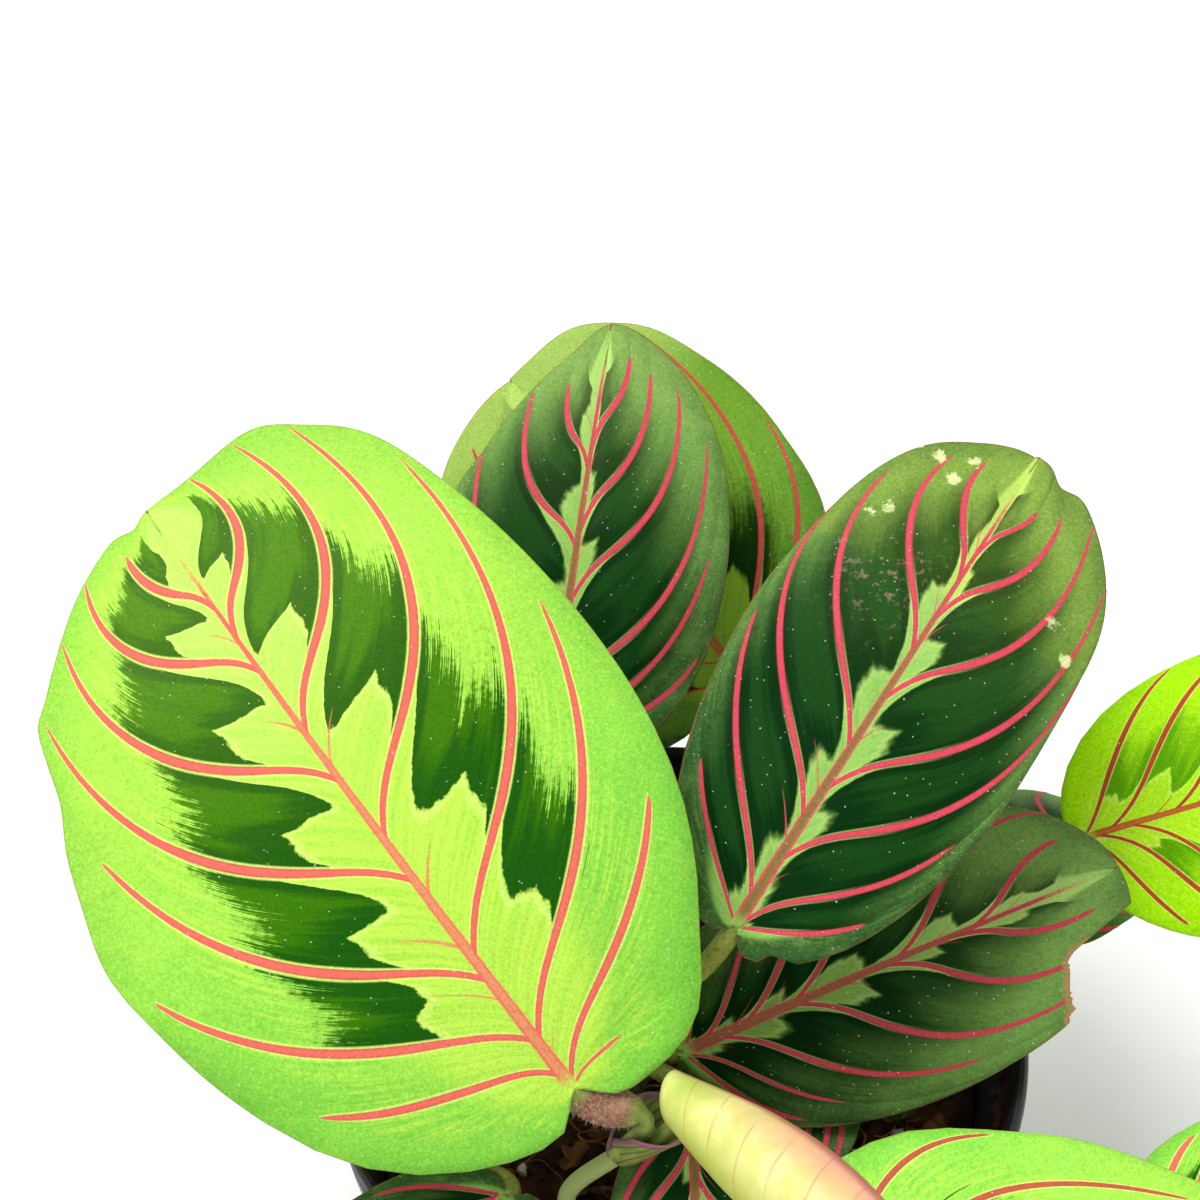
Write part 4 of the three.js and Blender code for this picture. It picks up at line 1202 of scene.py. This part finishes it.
class Nodes:
    """Adds nodes to a shader tree and joins them; an input may be a number, a colour or a Value."""

    def __init__(self, tree):
        self.tree = tree

    def join(self, value, socket):
        """Links a value to a socket, or sets the socket's own number or colour."""
        if isinstance(value, Value):
            self.tree.links.new(value.socket, socket)
        elif socket.type == "RGBA" and len(value) == 3:
            socket.default_value = (*value, 1)
        else:
            socket.default_value = value

    def outputs(self, kind, inputs=None, **facts):
        """A node with its settings and inputs; gives back all its outputs."""
        node = self.tree.nodes.new(kind)
        for fact, value in facts.items():
            setattr(node, fact, value)
        for key, value in (inputs or {}).items():
            self.join(value, node.inputs[key])
        return [Value(self, socket) for socket in node.outputs]

    def add(self, kind, inputs=None, output=0, **facts):
        """A node with its settings and inputs; gives back one of its outputs."""
        return self.outputs(kind, inputs, **facts)[output]

    def math(self, operation, first, second=0.0, clamp=False):
        """One sum, product or other operation on values."""
        return self.add("ShaderNodeMath", {0: first, 1: second}, operation=operation, use_clamp=clamp)

    def mix(self, share, first, second, blend="MIX"):
        """A colour between two colours."""
        return self.add("ShaderNodeMix", {0: share, 6: first, 7: second}, output=2, data_type="RGBA",
                        blend_type=blend)

    def tint(self, first, second):
        """The product of two colours."""
        return self.mix(1.0, first, second, "MULTIPLY")

    def step(self, value, low, high):
        """0 at low, 1 at high and smooth between; low may be the greater one."""
        return self.add("ShaderNodeMapRange", {0: value, 1: low, 2: high}, interpolation_type="SMOOTHSTEP")

    def noise(self, vector, scale, detail=2.0, roughness=0.5):
        """Soft noise from 0 to 1."""
        return self.add("ShaderNodeTexNoise", {"Vector": vector, "Scale": scale, "Detail": detail,
                                               "Roughness": roughness})

    def cells(self, vector, scale):
        """The distance to the nearest of many strewn points, and a colour drawn for each point."""
        return self.outputs("ShaderNodeTexVoronoi", {"Vector": vector, "Scale": scale})[:2]

    def stretched(self, vector, x, y, z=1.0):
        """A vector scaled by a different share along each axis."""
        return self.add("ShaderNodeVectorMath", {0: vector, 1: (x, y, z)}, operation="MULTIPLY")

    def curve(self, value, points):
        """A value read off a line through the given points."""
        node = self.tree.nodes.new("ShaderNodeFloatCurve")
        line = node.mapping.curves[0]
        for point in points[1:-1]:
            line.points.new(*point)
        line.points[0].location = points[0]
        line.points[-1].location = points[-1]
        for point in line.points:
            point.handle_type = "VECTOR"
        node.mapping.update()
        self.join(value, node.inputs["Value"])
        return Value(self, node.outputs[0])

    def place(self):
        """The place on the piece, in metres."""
        return self.add("ShaderNodeTexCoord", output=3)

    def uv(self):
        """The place on the piece's UV map."""
        return self.add("ShaderNodeUVMap", uv_map="UVMap")

    def parts(self, vector):
        """The three numbers of a vector."""
        return self.outputs("ShaderNodeSeparateXYZ", {0: vector})

    def kept(self, name):
        """A number that the piece keeps at its vertices."""
        return self.add("ShaderNodeAttribute", attribute_name=name, output=2)


def new_group(name, given, found):
    """A node group with inputs and outputs of the given kinds.

    Gives back its nodes, its inputs as values by their names in small letters, and its output sockets."""
    tree = bpy.data.node_groups.new(name, "ShaderNodeTree")
    for way, sockets in (("INPUT", given), ("OUTPUT", found)):
        for kind, names in sockets.items():
            for socket in names:
                tree.interface.new_socket(socket, in_out=way, socket_type=f"NodeSocket{kind}")
    nodes = Nodes(tree)
    inside = {socket.name.lower().replace(" ", "_"): Value(nodes, socket)
              for socket in tree.nodes.new("NodeGroupInput").outputs if socket.name}
    return nodes, SimpleNamespace(**inside), tree.nodes.new("NodeGroupOutput").inputs


# The blotch between two veins, from the vein nearer the base (0) to the next one (1): how far its inner and
# its outer edge lie beyond their usual place; 0.5 stands for no shift, because the curves read from 0 to 1
INNER_EDGE = ((0.0, 0.46), (0.06, 0.46), (0.11, 0.50), (0.20, 0.52), (0.30, 0.53), (0.37, 0.55),
              (0.43, 0.50), (0.52, 0.44), (0.61, 0.375), (0.69, 0.365), (0.76, 0.40), (0.82, 0.47),
              (0.87, 0.56), (0.93, 0.68), (1.0, 0.80))
OUTER_EDGE = ((0.0, 0.53), (0.1, 0.52), (0.3, 0.48), (0.5, 0.46), (0.7, 0.50), (0.85, 0.53), (1.0, 0.54))

# Colours that all leaves share, as linear values; the first six are multiplied with a leaf's own colours
COOL_MARGIN = (0.72, 0.78, 0.8)
FEATHER_LINES = (0.7, 0.88, 0.7)
MOTTLE = (0.8, 0.86, 0.7)
LEAF_SHADOW = (0.3, 0.25, 0.2)
LEAF_SUN = (1.3, 1.1, 0.85)
RUSTY = (0.5, 0.55, 0.35)
LIT_FEATHER = (0.62, 0.85, 0.25)
# Painted sunlight on a leaf's tip
SUNLIT_TIP = (0.62, 0.82, 0.2)
HALO = (0.95, 0.98, 0.35)
VEIN_EDGE = (0.25, 0.02, 0.02)
MARGIN_LINE = (0.45, 0.16, 0.06)
DRY_EDGE = (0.42, 0.25, 0.09)
# Pale specks, partly dust and partly painted sheen
DUST_AND_SHEEN = (0.8, 0.85, 0.75)
WATER_MARK = (0.7, 0.8, 0.65)
# Painted flecks of sunlight
SUN_FLECK = (0.82, 0.88, 0.42)
SCRATCHED = (0.3, 0.24, 0.15)


def add_patterns(nodes, leaf):
    """The coordinates and noises that a leaf's markings share."""
    line, leaf.across, _ = nodes.parts(leaf.veins)
    leaf.phase = nodes.math("FRACT", line)
    cell = nodes.math("FLOOR", line)
    leaf.chance = nodes.add("ShaderNodeTexWhiteNoise", {"W": cell}, noise_dimensions="1D")
    leaf.other = nodes.add("ShaderNodeTexWhiteNoise", {"W": cell + 0.37}, noise_dimensions="1D")
    leaf.broad = nodes.noise(nodes.stretched(leaf.veins, 5, 1.6), 1.0, 2)
    leaf.streak = nodes.noise(nodes.stretched(leaf.veins, 15, 2.2), 1.0, 2, 0.6)
    leaf.fine = nodes.noise(nodes.stretched(leaf.veins, 60, 5), 1.0, 2, 0.6)
    leaf.grain = nodes.noise(leaf.place, 2200, 2, 0.6)
    leaf.ragged = nodes.noise(leaf.place, 900, 3, 0.65)


def add_blotch(nodes, leaf):
    """Where the dark blotch between two veins starts and ends, and how much of it is there."""
    inner = nodes.curve(leaf.phase, INNER_EDGE) - 0.5
    start = inner * leaf.lobe + leaf.inner + (leaf.ragged - 0.5) * 0.03 + (leaf.broad - 0.5) * 0.05
    leaf.start = nodes.math("MAXIMUM", start, 0.03)
    swing = (leaf.streak - 0.5) * 0.26 + (leaf.fine - 0.5) * 0.34 + (leaf.ragged - 0.5) * 0.14
    leaf.end = nodes.curve(leaf.phase, OUTER_EDGE) - 0.5 + leaf.outer + swing * leaf.streaks
    begun = nodes.step(leaf.across, leaf.start - leaf.blur, leaf.start + leaf.blur)
    ended = nodes.step(leaf.across, leaf.end - leaf.softness, leaf.end + leaf.softness)
    empty = 1.0 - leaf.patch
    leaf.filled = nodes.step(leaf.streak, empty - 0.12, empty + 0.04)
    return begun * (1.0 - ended) * leaf.filled


def leaf_ground(nodes, leaf):
    """The colour between the veins beside and beyond the blotches: light feather and mottled outer part."""
    cool = nodes.mix(0.8, leaf.ground, nodes.tint(leaf.ground, COOL_MARGIN))
    ground = nodes.mix(nodes.step(leaf.across, 0.72, 1.0), leaf.ground, cool)
    fresh = nodes.step(leaf.along, 0.2, 0.7) * (1.0 - nodes.step(leaf.across, 0.75, 1.0) * 0.4)
    ground = nodes.mix(fresh * leaf.lush, ground, leaf.feather)
    beyond = nodes.step(leaf.across, leaf.outer * 0.5, leaf.outer)
    feather = nodes.mix(nodes.step(leaf.streak, 0.4, 0.62) * 0.7, leaf.feather,
                        nodes.tint(leaf.feather, FEATHER_LINES))
    feather = nodes.mix(nodes.step(leaf.along, 0.4, 0.8) * 0.35, feather, LIT_FEATHER)
    near_end = 1.0 - nodes.math("MINIMUM", abs(leaf.across - (leaf.end + 0.06)) * 5.0, 1.0)
    cloud = nodes.step(nodes.noise(leaf.place, 140, 3, 0.6), 0.45, 0.7)
    paler = nodes.mix(0.35, ground, leaf.feather)
    layers = (
        (nodes.step(leaf.streak, 0.42, 0.62) * near_end * leaf.streaks, leaf.feather),
        (nodes.step(leaf.fine, 0.5, 0.75) * 0.35, paler),
        (nodes.step(leaf.grain, 0.52, 0.75) * 0.5, paler),
        (nodes.step(leaf.ragged, 0.48, 0.68) * (beyond * 0.6), nodes.tint(ground, MOTTLE)),
        (cloud * (beyond * 0.45), paler))
    colour_now = nodes.mix(beyond, feather, ground)
    for share, layer in layers:
        colour_now = nodes.mix(share, colour_now, layer)
    return colour_now


def blotch_colour(nodes, leaf):
    """The colour of the dark blotches, lighter in streaks and towards the leaf's tip."""
    middle = nodes.step(leaf.across - leaf.start, 0.0, 0.2) * nodes.step(leaf.vein, 1.0, 6.0)
    lift = leaf.streak * 0.3 + leaf.broad * 0.7 + (middle - 0.6) * 0.3
    deep = nodes.mix(nodes.step(lift, 0.36, 0.62), leaf.blotch, leaf.shade)
    deep = nodes.mix(nodes.step(leaf.along, 0.35, 0.9) * 0.09, deep, leaf.feather)
    return nodes.mix(nodes.step(leaf.fine, 0.45, 0.8) * 0.18, deep, leaf.shade)


def lit(nodes, leaf, colour_now):
    """A leaf's colour with painted shade, painted sunlight on its tip and a painted patch of sunlight."""
    # Painted shade, strongest towards the base
    shaded = ((1.0 - nodes.step(leaf.along, 0.05, 0.7)) * 0.7 + 0.3) * leaf.dim
    colour_now = nodes.mix(shaded, colour_now, nodes.tint(colour_now, LEAF_SHADOW))
    # Painted sunlight paling the tip where dim is below zero
    pale = nodes.math("MULTIPLY", leaf.dim, -1.0, clamp=True) * nodes.step(leaf.along, 0.66, 0.95)
    colour_now = nodes.mix(pale, colour_now, SUNLIT_TIP)
    # A painted patch of sunlight beyond the share sun along the midrib
    leaf.sunlit = nodes.step(leaf.along - leaf.sun, -0.008, 0.012)
    return nodes.mix(leaf.sunlit, colour_now, nodes.tint(colour_now, LEAF_SUN))


def veined(nodes, leaf, colour_now):
    """A leaf's colour with a yellow halo along its veins, short spurs, side veins and midrib."""
    pink = nodes.mix(leaf.rust, leaf.vein_colour, nodes.tint(leaf.vein_colour, RUSTY))
    halo = nodes.step(leaf.vein, 0.85, 1.05) * (1.0 - nodes.step(leaf.vein, 1.2, 1.7)) * leaf.halo
    halo = halo * nodes.step(leaf.halo * leaf.halo * 2.2 - leaf.across, 0.0, 0.2)
    rim = nodes.step(abs(leaf.across - (leaf.start - 0.012)), 0.016, 0.004) * (leaf.halo * 0.6)
    rim = rim * nodes.step(leaf.end - leaf.start, 0.0, 0.1) * leaf.filled
    colour_now = nodes.mix(nodes.math("MAXIMUM", halo, rim), colour_now, nodes.mix(0.45, leaf.feather, HALO))
    spur_width = (1.0 - leaf.across / (leaf.chance * 0.13 + 0.05)) * 0.035
    spur = 1.0 - nodes.step(abs(leaf.phase - (leaf.other * 0.4 + 0.3)), spur_width * 0.5, spur_width)
    spur = spur * (spur_width > 0.002) * (leaf.chance > 0.35)
    colour_now = nodes.mix(spur * 0.75, colour_now, pink)
    vein = nodes.mix(nodes.step(leaf.vein, 0.35, 0.95), pink, nodes.mix(0.3, pink, VEIN_EDGE))
    colour_now = nodes.mix(1.0 - nodes.step(leaf.vein, 0.75, 1.1), colour_now, vein)
    near_rib = leaf.rib + (leaf.ragged - 0.5) * 0.3
    rib = nodes.mix(nodes.step(near_rib, 0.4, 0.8), nodes.mix(leaf.rust, leaf.rib_colour, pink), pink)
    rib = nodes.mix(nodes.step(leaf.along, 0.035, 0.0), rib, leaf.feather)
    return nodes.mix(1.0 - nodes.step(near_rib, 0.8, 1.15), colour_now, rib)


def worn(nodes, leaf, colour_now):
    """A leaf's colour with its thin margin line, dry bites, pale specks, water marks, flecks and scratches.

    The pale specks are partly dust and partly painted sheen; the flecks are painted sunlight.
    """
    uneven = leaf.ragged - 0.5
    # Pale specks on every leaf: partly dust, partly painted sheen
    speck, _ = nodes.cells(leaf.place, 640.0)
    ring, tone = nodes.cells(leaf.place, 70.0)
    ring = 1.0 - nodes.step(abs(ring + leaf.broad * 0.12 - 0.34), 0.0, 0.025)
    wet = nodes.step(leaf.ragged, 0.35, 0.6) * (nodes.step(leaf.dim, 0.1, 0.3) * 0.3)
    # Painted flecks of sunlight, only inside the painted sunlit patch
    sun_fleck, _ = nodes.cells(leaf.place, 150.0)
    sun_fleck = (1.0 - nodes.step(sun_fleck + uneven * 0.5, 0.1, 0.2)) * leaf.sunlit
    sun_fleck = sun_fleck * nodes.step(leaf.across, 0.5, 0.7)
    scratch = nodes.step(nodes.noise(leaf.place, 700, 4, 0.7), 0.56, 0.66) * leaf.graze
    for share, layer in (
            ((1.0 - nodes.step(leaf.edge, 0.12, 0.45)) * 0.55, nodes.mix(0.5, leaf.ground, MARGIN_LINE)),
            (1.0 - nodes.step(leaf.bite + uneven * 1.6, 0.5, 1.5), DRY_EDGE),
            ((speck < leaf.ragged * 0.15) * 0.5, DUST_AND_SHEEN),
            (ring * (tone > 0.8) * wet, WATER_MARK),
            (sun_fleck * 0.85, SUN_FLECK),
            (scratch * 0.8, SCRATCHED)):
        colour_now = nodes.mix(share, colour_now, layer)
    return nodes.tint(colour_now, (leaf.grain - 0.5) * 0.75 + 1.0)


def markings_group():
    """The leaf markings: light feather, dark blotches between the veins, pink veins, midrib and margin."""
    if "Prayer Leaf Markings" in bpy.data.node_groups:
        return bpy.data.node_groups["Prayer Leaf Markings"]
    numbers = [value.capitalize() for value in LEAF_VALUES]
    nodes, leaf, result = new_group(
        "Prayer Leaf Markings",
        {"Vector": ("Veins", "Place"), "Float": (*numbers, "Softness", "Streaks", "Halo", "Lush", "Blur"),
         "Color": (*LEAF_COLOURS, "Rib Colour")},
        {"Color": ("Color",), "Float": ("Height", "Roughness")})
    add_patterns(nodes, leaf)
    blotch = add_blotch(nodes, leaf)
    colour_now = nodes.mix(blotch, leaf_ground(nodes, leaf), blotch_colour(nodes, leaf))
    for layer in (lit, veined, worn):
        colour_now = layer(nodes, leaf, colour_now)
    nodes.join(colour_now, result["Color"])
    nodes.join(leaf.streak * 0.5 + leaf.fine * 0.35 + leaf.grain * 0.3, result["Height"])
    nodes.join(leaf.ragged * 0.16 + 0.40, result["Roughness"])
    return nodes.tree


def grain_group():
    """Uneven grain: broad clouds and fine specks between two colours, with their height."""
    if "Uneven Grain" in bpy.data.node_groups:
        return bpy.data.node_groups["Uneven Grain"]
    nodes, given, result = new_group(
        "Uneven Grain", {"Vector": ("Place",), "Float": ("Scale",), "Color": ("Dark", "Light")},
        {"Color": ("Color",), "Float": ("Height",)})
    fine = nodes.noise(given.place, given.scale, 5, 0.65)
    level = fine * 0.6 + nodes.noise(given.place, given.scale * 0.22, 3) * 0.4
    nodes.join(nodes.mix(nodes.step(level, 0.34, 0.68), given.dark, given.light), result["Color"])
    nodes.join(level, result["Height"])
    return nodes.tree


def finished(name, paint, *facts):
    """A new material.

    paint adds its nodes and gives back colour, roughness, specular level, and its relief as height, strength
    and depth in metres; a specular level or relief of None is left as it is."""
    material = bpy.data.materials.new(name)
    material.use_nodes = True
    tree = material.node_tree
    tree.nodes.clear()
    shader = tree.nodes.new("ShaderNodeBsdfPrincipled")
    tree.links.new(shader.outputs[0], tree.nodes.new("ShaderNodeOutputMaterial").inputs[0])
    nodes = Nodes(tree)
    colour_now, roughness, specular, relief_now = paint(nodes, *facts)
    inputs = {"Base Color": colour_now, "Roughness": roughness, "Specular IOR Level": specular}
    if relief_now:
        height, strength, depth = relief_now
        inputs["Normal"] = nodes.add("ShaderNodeBump",
                                     {"Height": height, "Strength": strength, "Distance": depth})
    for key, value in inputs.items():
        if value is not None:
            nodes.join(value, shader.inputs[key])
    return material


def shared(name, paint, *facts):
    """A material that several pieces have, made the first time that it is asked for."""
    return bpy.data.materials.get(name) or finished(name, paint, *facts)


def paint_leaf_top(nodes, kind):
    """The upper face of a leaf of one kind."""
    inputs = {"Veins": nodes.uv(), "Place": nodes.place(), **LEAF_FINISH[kind]}
    for value in LEAF_VALUES:
        inputs[value.capitalize()] = nodes.kept(value)
    for socket, part in LEAF_COLOURS.items():
        inputs[socket] = tuple(getattr(settings().colours, f"{kind}_{part}"))
    shade, height, shine = nodes.outputs("ShaderNodeGroup", inputs, node_tree=markings_group())
    return shade, shine, 0.05, (height, 0.35, 0.0003)


def paint_leaf_under(nodes, kind):
    """The underside of a leaf of one kind: paler, flushed between the veins."""
    pale, flush = LEAF_UNDER[kind]
    streak = nodes.noise(nodes.stretched(nodes.uv(), 30, 4), 1.0, 3)
    cloud = nodes.noise(nodes.place(), 90, 3)
    shade = nodes.mix(nodes.step(cloud, 0.35, 0.65), pale, flush)
    shade = nodes.mix(nodes.step(streak, 0.45, 0.7) * 0.3, shade, pale)
    on_vein = 1.0 - nodes.step(nodes.kept("vein"), 0.7, 1.2)
    shade = nodes.mix(on_vein, shade, tuple(getattr(settings().colours, f"{kind}_vein")))
    return shade, 0.55, 0.2, (streak, 0.3, 0.0003)


# The markings' colour inputs with the settings that they take, how each kind of leaf is finished, and the
# pale and the flushed colour of its underside
LEAF_COLOURS = {"Ground": "ground", "Feather": "feather", "Blotch": "blotch", "Shade": "shade",
                "Vein Colour": "vein"}
LEAF_FINISH = {
    "bright": {"Rib Colour": srgb(232, 150, 104), "Softness": 0.03, "Streaks": 0.9, "Halo": 0.85, "Lush": 0.5,
               "Blur": 0.005},
    "dark": {"Rib Colour": srgb(136, 118, 62), "Softness": 0.22, "Streaks": 0.3, "Halo": 0.42, "Lush": 0.45,
             "Blur": 0.022},
    "olive": {"Rib Colour": srgb(170, 130, 60), "Softness": 0.08, "Streaks": 0.8, "Halo": 0.0, "Lush": 0.4,
              "Blur": 0.012},
    "lime": {"Rib Colour": srgb(200, 120, 50), "Softness": 0.1, "Streaks": 0.8, "Halo": 0.7, "Lush": 0.5,
             "Blur": 0.012},
}
LEAF_UNDER = {
    "bright": (srgb(186, 214, 130), srgb(196, 170, 140)),
    "dark": (srgb(150, 170, 120), srgb(150, 96, 110)),
    "olive": (srgb(150, 180, 90), srgb(150, 140, 100)),
    "lime": (srgb(170, 214, 90), srgb(180, 190, 100)),
}


def add_grain(nodes, place, scale, dark, light):
    """Places the grain group in a material; gives back its colour and height."""
    inputs = {"Place": place, "Scale": float(scale), "Dark": dark, "Light": light}
    return nodes.outputs("ShaderNodeGroup", inputs, node_tree=grain_group())


def paint_grainy(nodes, dark, light, scale, roughness, depth):
    """A rough natural finish between two colours."""
    shade, height = add_grain(nodes, nodes.place(), scale, dark, light)
    return shade, roughness, 0.2, (height, 0.6, depth) if depth else None


def grainy_material(name, *facts):
    """A material with a rough natural finish."""
    return shared(name, paint_grainy, *facts)


def paint_stalk(nodes, dark, light):
    """Leaf stalks: pale green, pink under the blade, with a swelling between of its own colours."""
    place = nodes.place()
    green, height = add_grain(nodes, nodes.stretched(place, 1, 1, 0.3), 900, srgb(120, 140, 60),
                              srgb(164, 188, 96))
    brown, _ = add_grain(nodes, place, 1500, srgb(*dark), srgb(*light))
    shade = nodes.mix(nodes.step(nodes.kept("rise"), 1.0, 1.1), green, srgb(196, 120, 100))
    shade = nodes.mix(nodes.step(nodes.kept("swell"), 0.25, 0.7), shade, brown)
    return shade, 0.5, 0.25, (height, 0.4, 0.0002)


def stalk_material(name="leaf_stalk", dark=(112, 122, 40), light=(168, 176, 78)):
    """The material of a leaf stalk, with the two colours of its swelling."""
    return shared(name, paint_stalk, dark, light)


def paint_sheath(nodes):
    """Sheaths: yellow green darkened as painted shade, with darker green veins, mauve along the edges and the
    tip.
    """
    around, along, _ = nodes.parts(nodes.uv())
    place = nodes.place()
    # The yellow greens are darkened below the sheath's own colour as painted shade
    shade, height = add_grain(nodes, place, 700, srgb(124, 136, 66), srgb(166, 172, 98))
    wave = nodes.math("SINE", around * 92.0)
    shade = nodes.mix(nodes.step(wave, 0.45, 0.95) * 0.75, shade, srgb(74, 88, 34))
    rim = nodes.math("MAXIMUM", nodes.step(abs(around - 0.5), 0.40, 0.49), nodes.step(along, 0.82, 0.98))
    shade = nodes.mix(rim * (nodes.noise(place, 160, 2) + 0.45), shade, srgb(142, 88, 110))
    return shade, 0.45, 0.3, (height + wave * 0.4, 0.5, 0.0002)


def paint_new_leaf(nodes):
    """The rolled leaf: cream yellow with thin pink veins, flushed pink towards its free edge.

    Olive painted shade darkens the side turned away from the light and the part near its foot.
    """
    around, along, _ = nodes.parts(nodes.uv())
    place = nodes.place()
    facing = nodes.kept("facing")
    shade, height = add_grain(nodes, place, 260, srgb(214, 214, 110), srgb(240, 236, 164))
    bend = along + around * 0.24 + nodes.noise(place, 60, 2) * 0.03
    line = nodes.step(nodes.math("SINE", bend * 66.0), 0.97, 1.0)
    line = line * nodes.step(nodes.noise(place, 190, 2), 0.3, 0.6)
    # near: the foot of the roll, where olive painted shadow falls
    near = nodes.step(along, 0.42, 0.05) * nodes.step(nodes.noise(place, 75, 2), 0.3, 0.6)
    flush = nodes.step(facing, 0.0, 0.9) * nodes.step(along, 0.02, 0.6) * (nodes.noise(place, 110, 2) + 0.35)
    for share, layer in (
            # Painted shade: olive on the side turned away from the light
            (nodes.step(facing, 0.1, -0.8) * 0.6, srgb(166, 176, 72)),
            # Painted shadow: olive towards the foot
            (near * 0.8, srgb(176, 192, 76)),
            (flush, srgb(238, 150, 140)),
            (nodes.step(facing, 0.86, 0.98) * 0.7, srgb(176, 92, 84)),
            (line * 0.5, srgb(196, 120, 90)),
            (nodes.step(around, 0.975, 0.99), srgb(196, 40, 70))):
        shade = nodes.mix(share, shade, layer)
    return shade, 0.42, 0.3, (height, 0.25, 0.0003)


def paint_pot(nodes):
    """Black moulded plastic: fine drag lines, scuffs and dried potting mix on the inside of the wall."""
    place = nodes.place()
    level = nodes.parts(place)[2]
    base = tuple(settings().colours.pot)
    shade, height = add_grain(nodes, place, 240, base, tuple(1.7 * value for value in base))
    flat = nodes.add("ShaderNodeVectorMath", {0: nodes.stretched(place, 1, 1, 0)}, output=1,
                     operation="LENGTH")
    inside = (flat < POT_INSIDE * MM) * (level > PEAT_LEVEL * MM)
    peat = nodes.step(nodes.noise(place, 420, 4, 0.7), 0.46, 0.56) * inside * nodes.step(level, 0.106, 0.09)
    dust = nodes.step(nodes.noise(place, 130, 5, 0.65), 0.56, 0.72)
    scuff = nodes.noise(nodes.stretched(place, 60, 60, 900), 1.0, 3, 0.6)
    for share, layer in (
            (dust * (nodes.step(level, 0.03, 0.0) * 0.3 + 0.28), srgb(112, 92, 74)),
            (nodes.step(scuff, 0.62, 0.8) * 0.25, srgb(86, 88, 92)),
            (peat * 0.9, srgb(92, 62, 40))):
        shade = nodes.mix(share, shade, layer)
    return shade, height * 0.16 + 0.34 + dust * 0.3, None, (scuff * 0.5 + height, 0.25, 0.0002)


def paint_floor(nodes):
    """The plain pale floor."""
    return srgb(250, 250, 250), 0.9, None, None


class PRAYER_PLANT_OT_stage(bpy.types.Operator):
    """Sets the pale floor, the soft light and the camera"""
    bl_idname = "prayer_plant.stage"
    bl_label = "Stage"

    def execute(self, context):
        stage = settings().stage
        deselect()
        bpy.ops.mesh.primitive_plane_add(size=stage.floor)
        floor = context.object
        floor.name = "floor"
        floor.data.materials.append(finished("floor_white", paint_floor))
        world = bpy.data.worlds.new("soft_white")
        context.scene.world = world
        world.use_nodes = True
        background = world.node_tree.nodes["Background"]
        background.inputs["Color"].default_value = (1, 1, 1, 1)
        background.inputs["Strength"].default_value = stage.ambient
        bpy.ops.object.light_add(type="SUN", location=KEY_PLACE)
        key = context.object
        key.name = "key_light"
        key.data.energy = stage.key
        key.data.angle = math.radians(30)
        aim = Vector(KEY_AIM) - key.location
        key.rotation_euler = aim.to_track_quat("-Z", "Y").to_euler()
        context.scene.view_settings.view_transform = "Standard"
        bpy.ops.object.camera_add(location=CAMERA_PLACE, rotation=(math.pi / 2 - stage.dip, 0, 0))
        camera = context.object
        camera.name = "photo_camera"
        camera.data.lens = stage.lens
        camera.data.sensor_width = SENSOR_WIDTH
        camera.data.clip_start = 0.01
        context.scene.camera = camera
        return {"FINISHED"}


class PRAYER_PLANT_OT_leaves(bpy.types.Operator):
    """Makes the open leaves on their stalks"""
    bl_idname = "prayer_plant.leaves"
    bl_label = "Leaves"

    def execute(self, context):
        draw = random.Random(SEED)
        for name, facts in LEAVES.items():
            add_leaf(name, facts, draw)
        return {"FINISHED"}


class PRAYER_PLANT_OT_pot(bpy.types.Operator):
    """Makes the nursery pot"""
    bl_idname = "prayer_plant.pot"
    bl_label = "Pot"

    def execute(self, context):
        add_pot()
        return {"FINISHED"}


class PRAYER_PLANT_OT_potting_mix(bpy.types.Operator):
    """Fills the pot with potting mix, bark, crumbs, perlite and fibres"""
    bl_idname = "prayer_plant.potting_mix"
    bl_label = "Potting Mix"

    def execute(self, context):
        add_soil()
        add_litter(random.Random(SEED + 1))
        return {"FINISHED"}


class PRAYER_PLANT_OT_shoots(bpy.types.Operator):
    """Makes the shoots with their sheaths"""
    bl_idname = "prayer_plant.shoots"
    bl_label = "Shoots"

    def execute(self, context):
        for name, shoot in SHOOTS.items():
            add_shoot(name, shoot)
        return {"FINISHED"}


class PRAYER_PLANT_OT_new_leaf(bpy.types.Operator):
    """Makes the new leaf that is still rolled up, and the hairs on the nearest leaf stalk"""
    bl_idname = "prayer_plant.new_leaf"
    bl_label = "New Leaf"

    def execute(self, context):
        add_new_leaf()
        add_hairs(random.Random(SEED + 2))
        return {"FINISHED"}


class PRAYER_PLANT_PT_panel(bpy.types.Panel):
    """Lists the pieces of the plant and their settings"""
    bl_label = "Prayer Plant"
    bl_space_type = "VIEW_3D"
    bl_region_type = "UI"
    bl_category = "Prayer Plant"

    def draw(self, context):
        for operator in MAKERS:
            self.layout.operator(operator.bl_idname)
        for group in (settings().leaves, settings().colours, settings().stage):
            for fact in group.bl_rna.properties.keys():
                if fact not in ("rna_type", "name"):
                    self.layout.prop(group, fact)


MAKERS = (PRAYER_PLANT_OT_stage, PRAYER_PLANT_OT_pot, PRAYER_PLANT_OT_potting_mix, PRAYER_PLANT_OT_shoots,
          PRAYER_PLANT_OT_leaves, PRAYER_PLANT_OT_new_leaf)
CLASSES = (LeafSettings, ColourSettings, StageSettings, PlantSettings, *MAKERS, PRAYER_PLANT_PT_panel)


def register():
    """Registers the settings, the operators and the panel."""
    for each in CLASSES:
        bpy.utils.register_class(each)
    bpy.types.Scene.prayer_plant = PointerProperty(type=PlantSettings)


def unregister():
    """Takes the settings, the operators and the panel away again."""
    del bpy.types.Scene.prayer_plant
    for each in reversed(CLASSES):
        bpy.utils.unregister_class(each)


def main():
    """Makes every piece in order."""
    register()
    bpy.ops.prayer_plant.stage()
    bpy.ops.prayer_plant.pot()
    bpy.ops.prayer_plant.potting_mix()
    bpy.ops.prayer_plant.shoots()
    bpy.ops.prayer_plant.leaves()
    bpy.ops.prayer_plant.new_leaf()


if __name__ == "__main__":
    main()
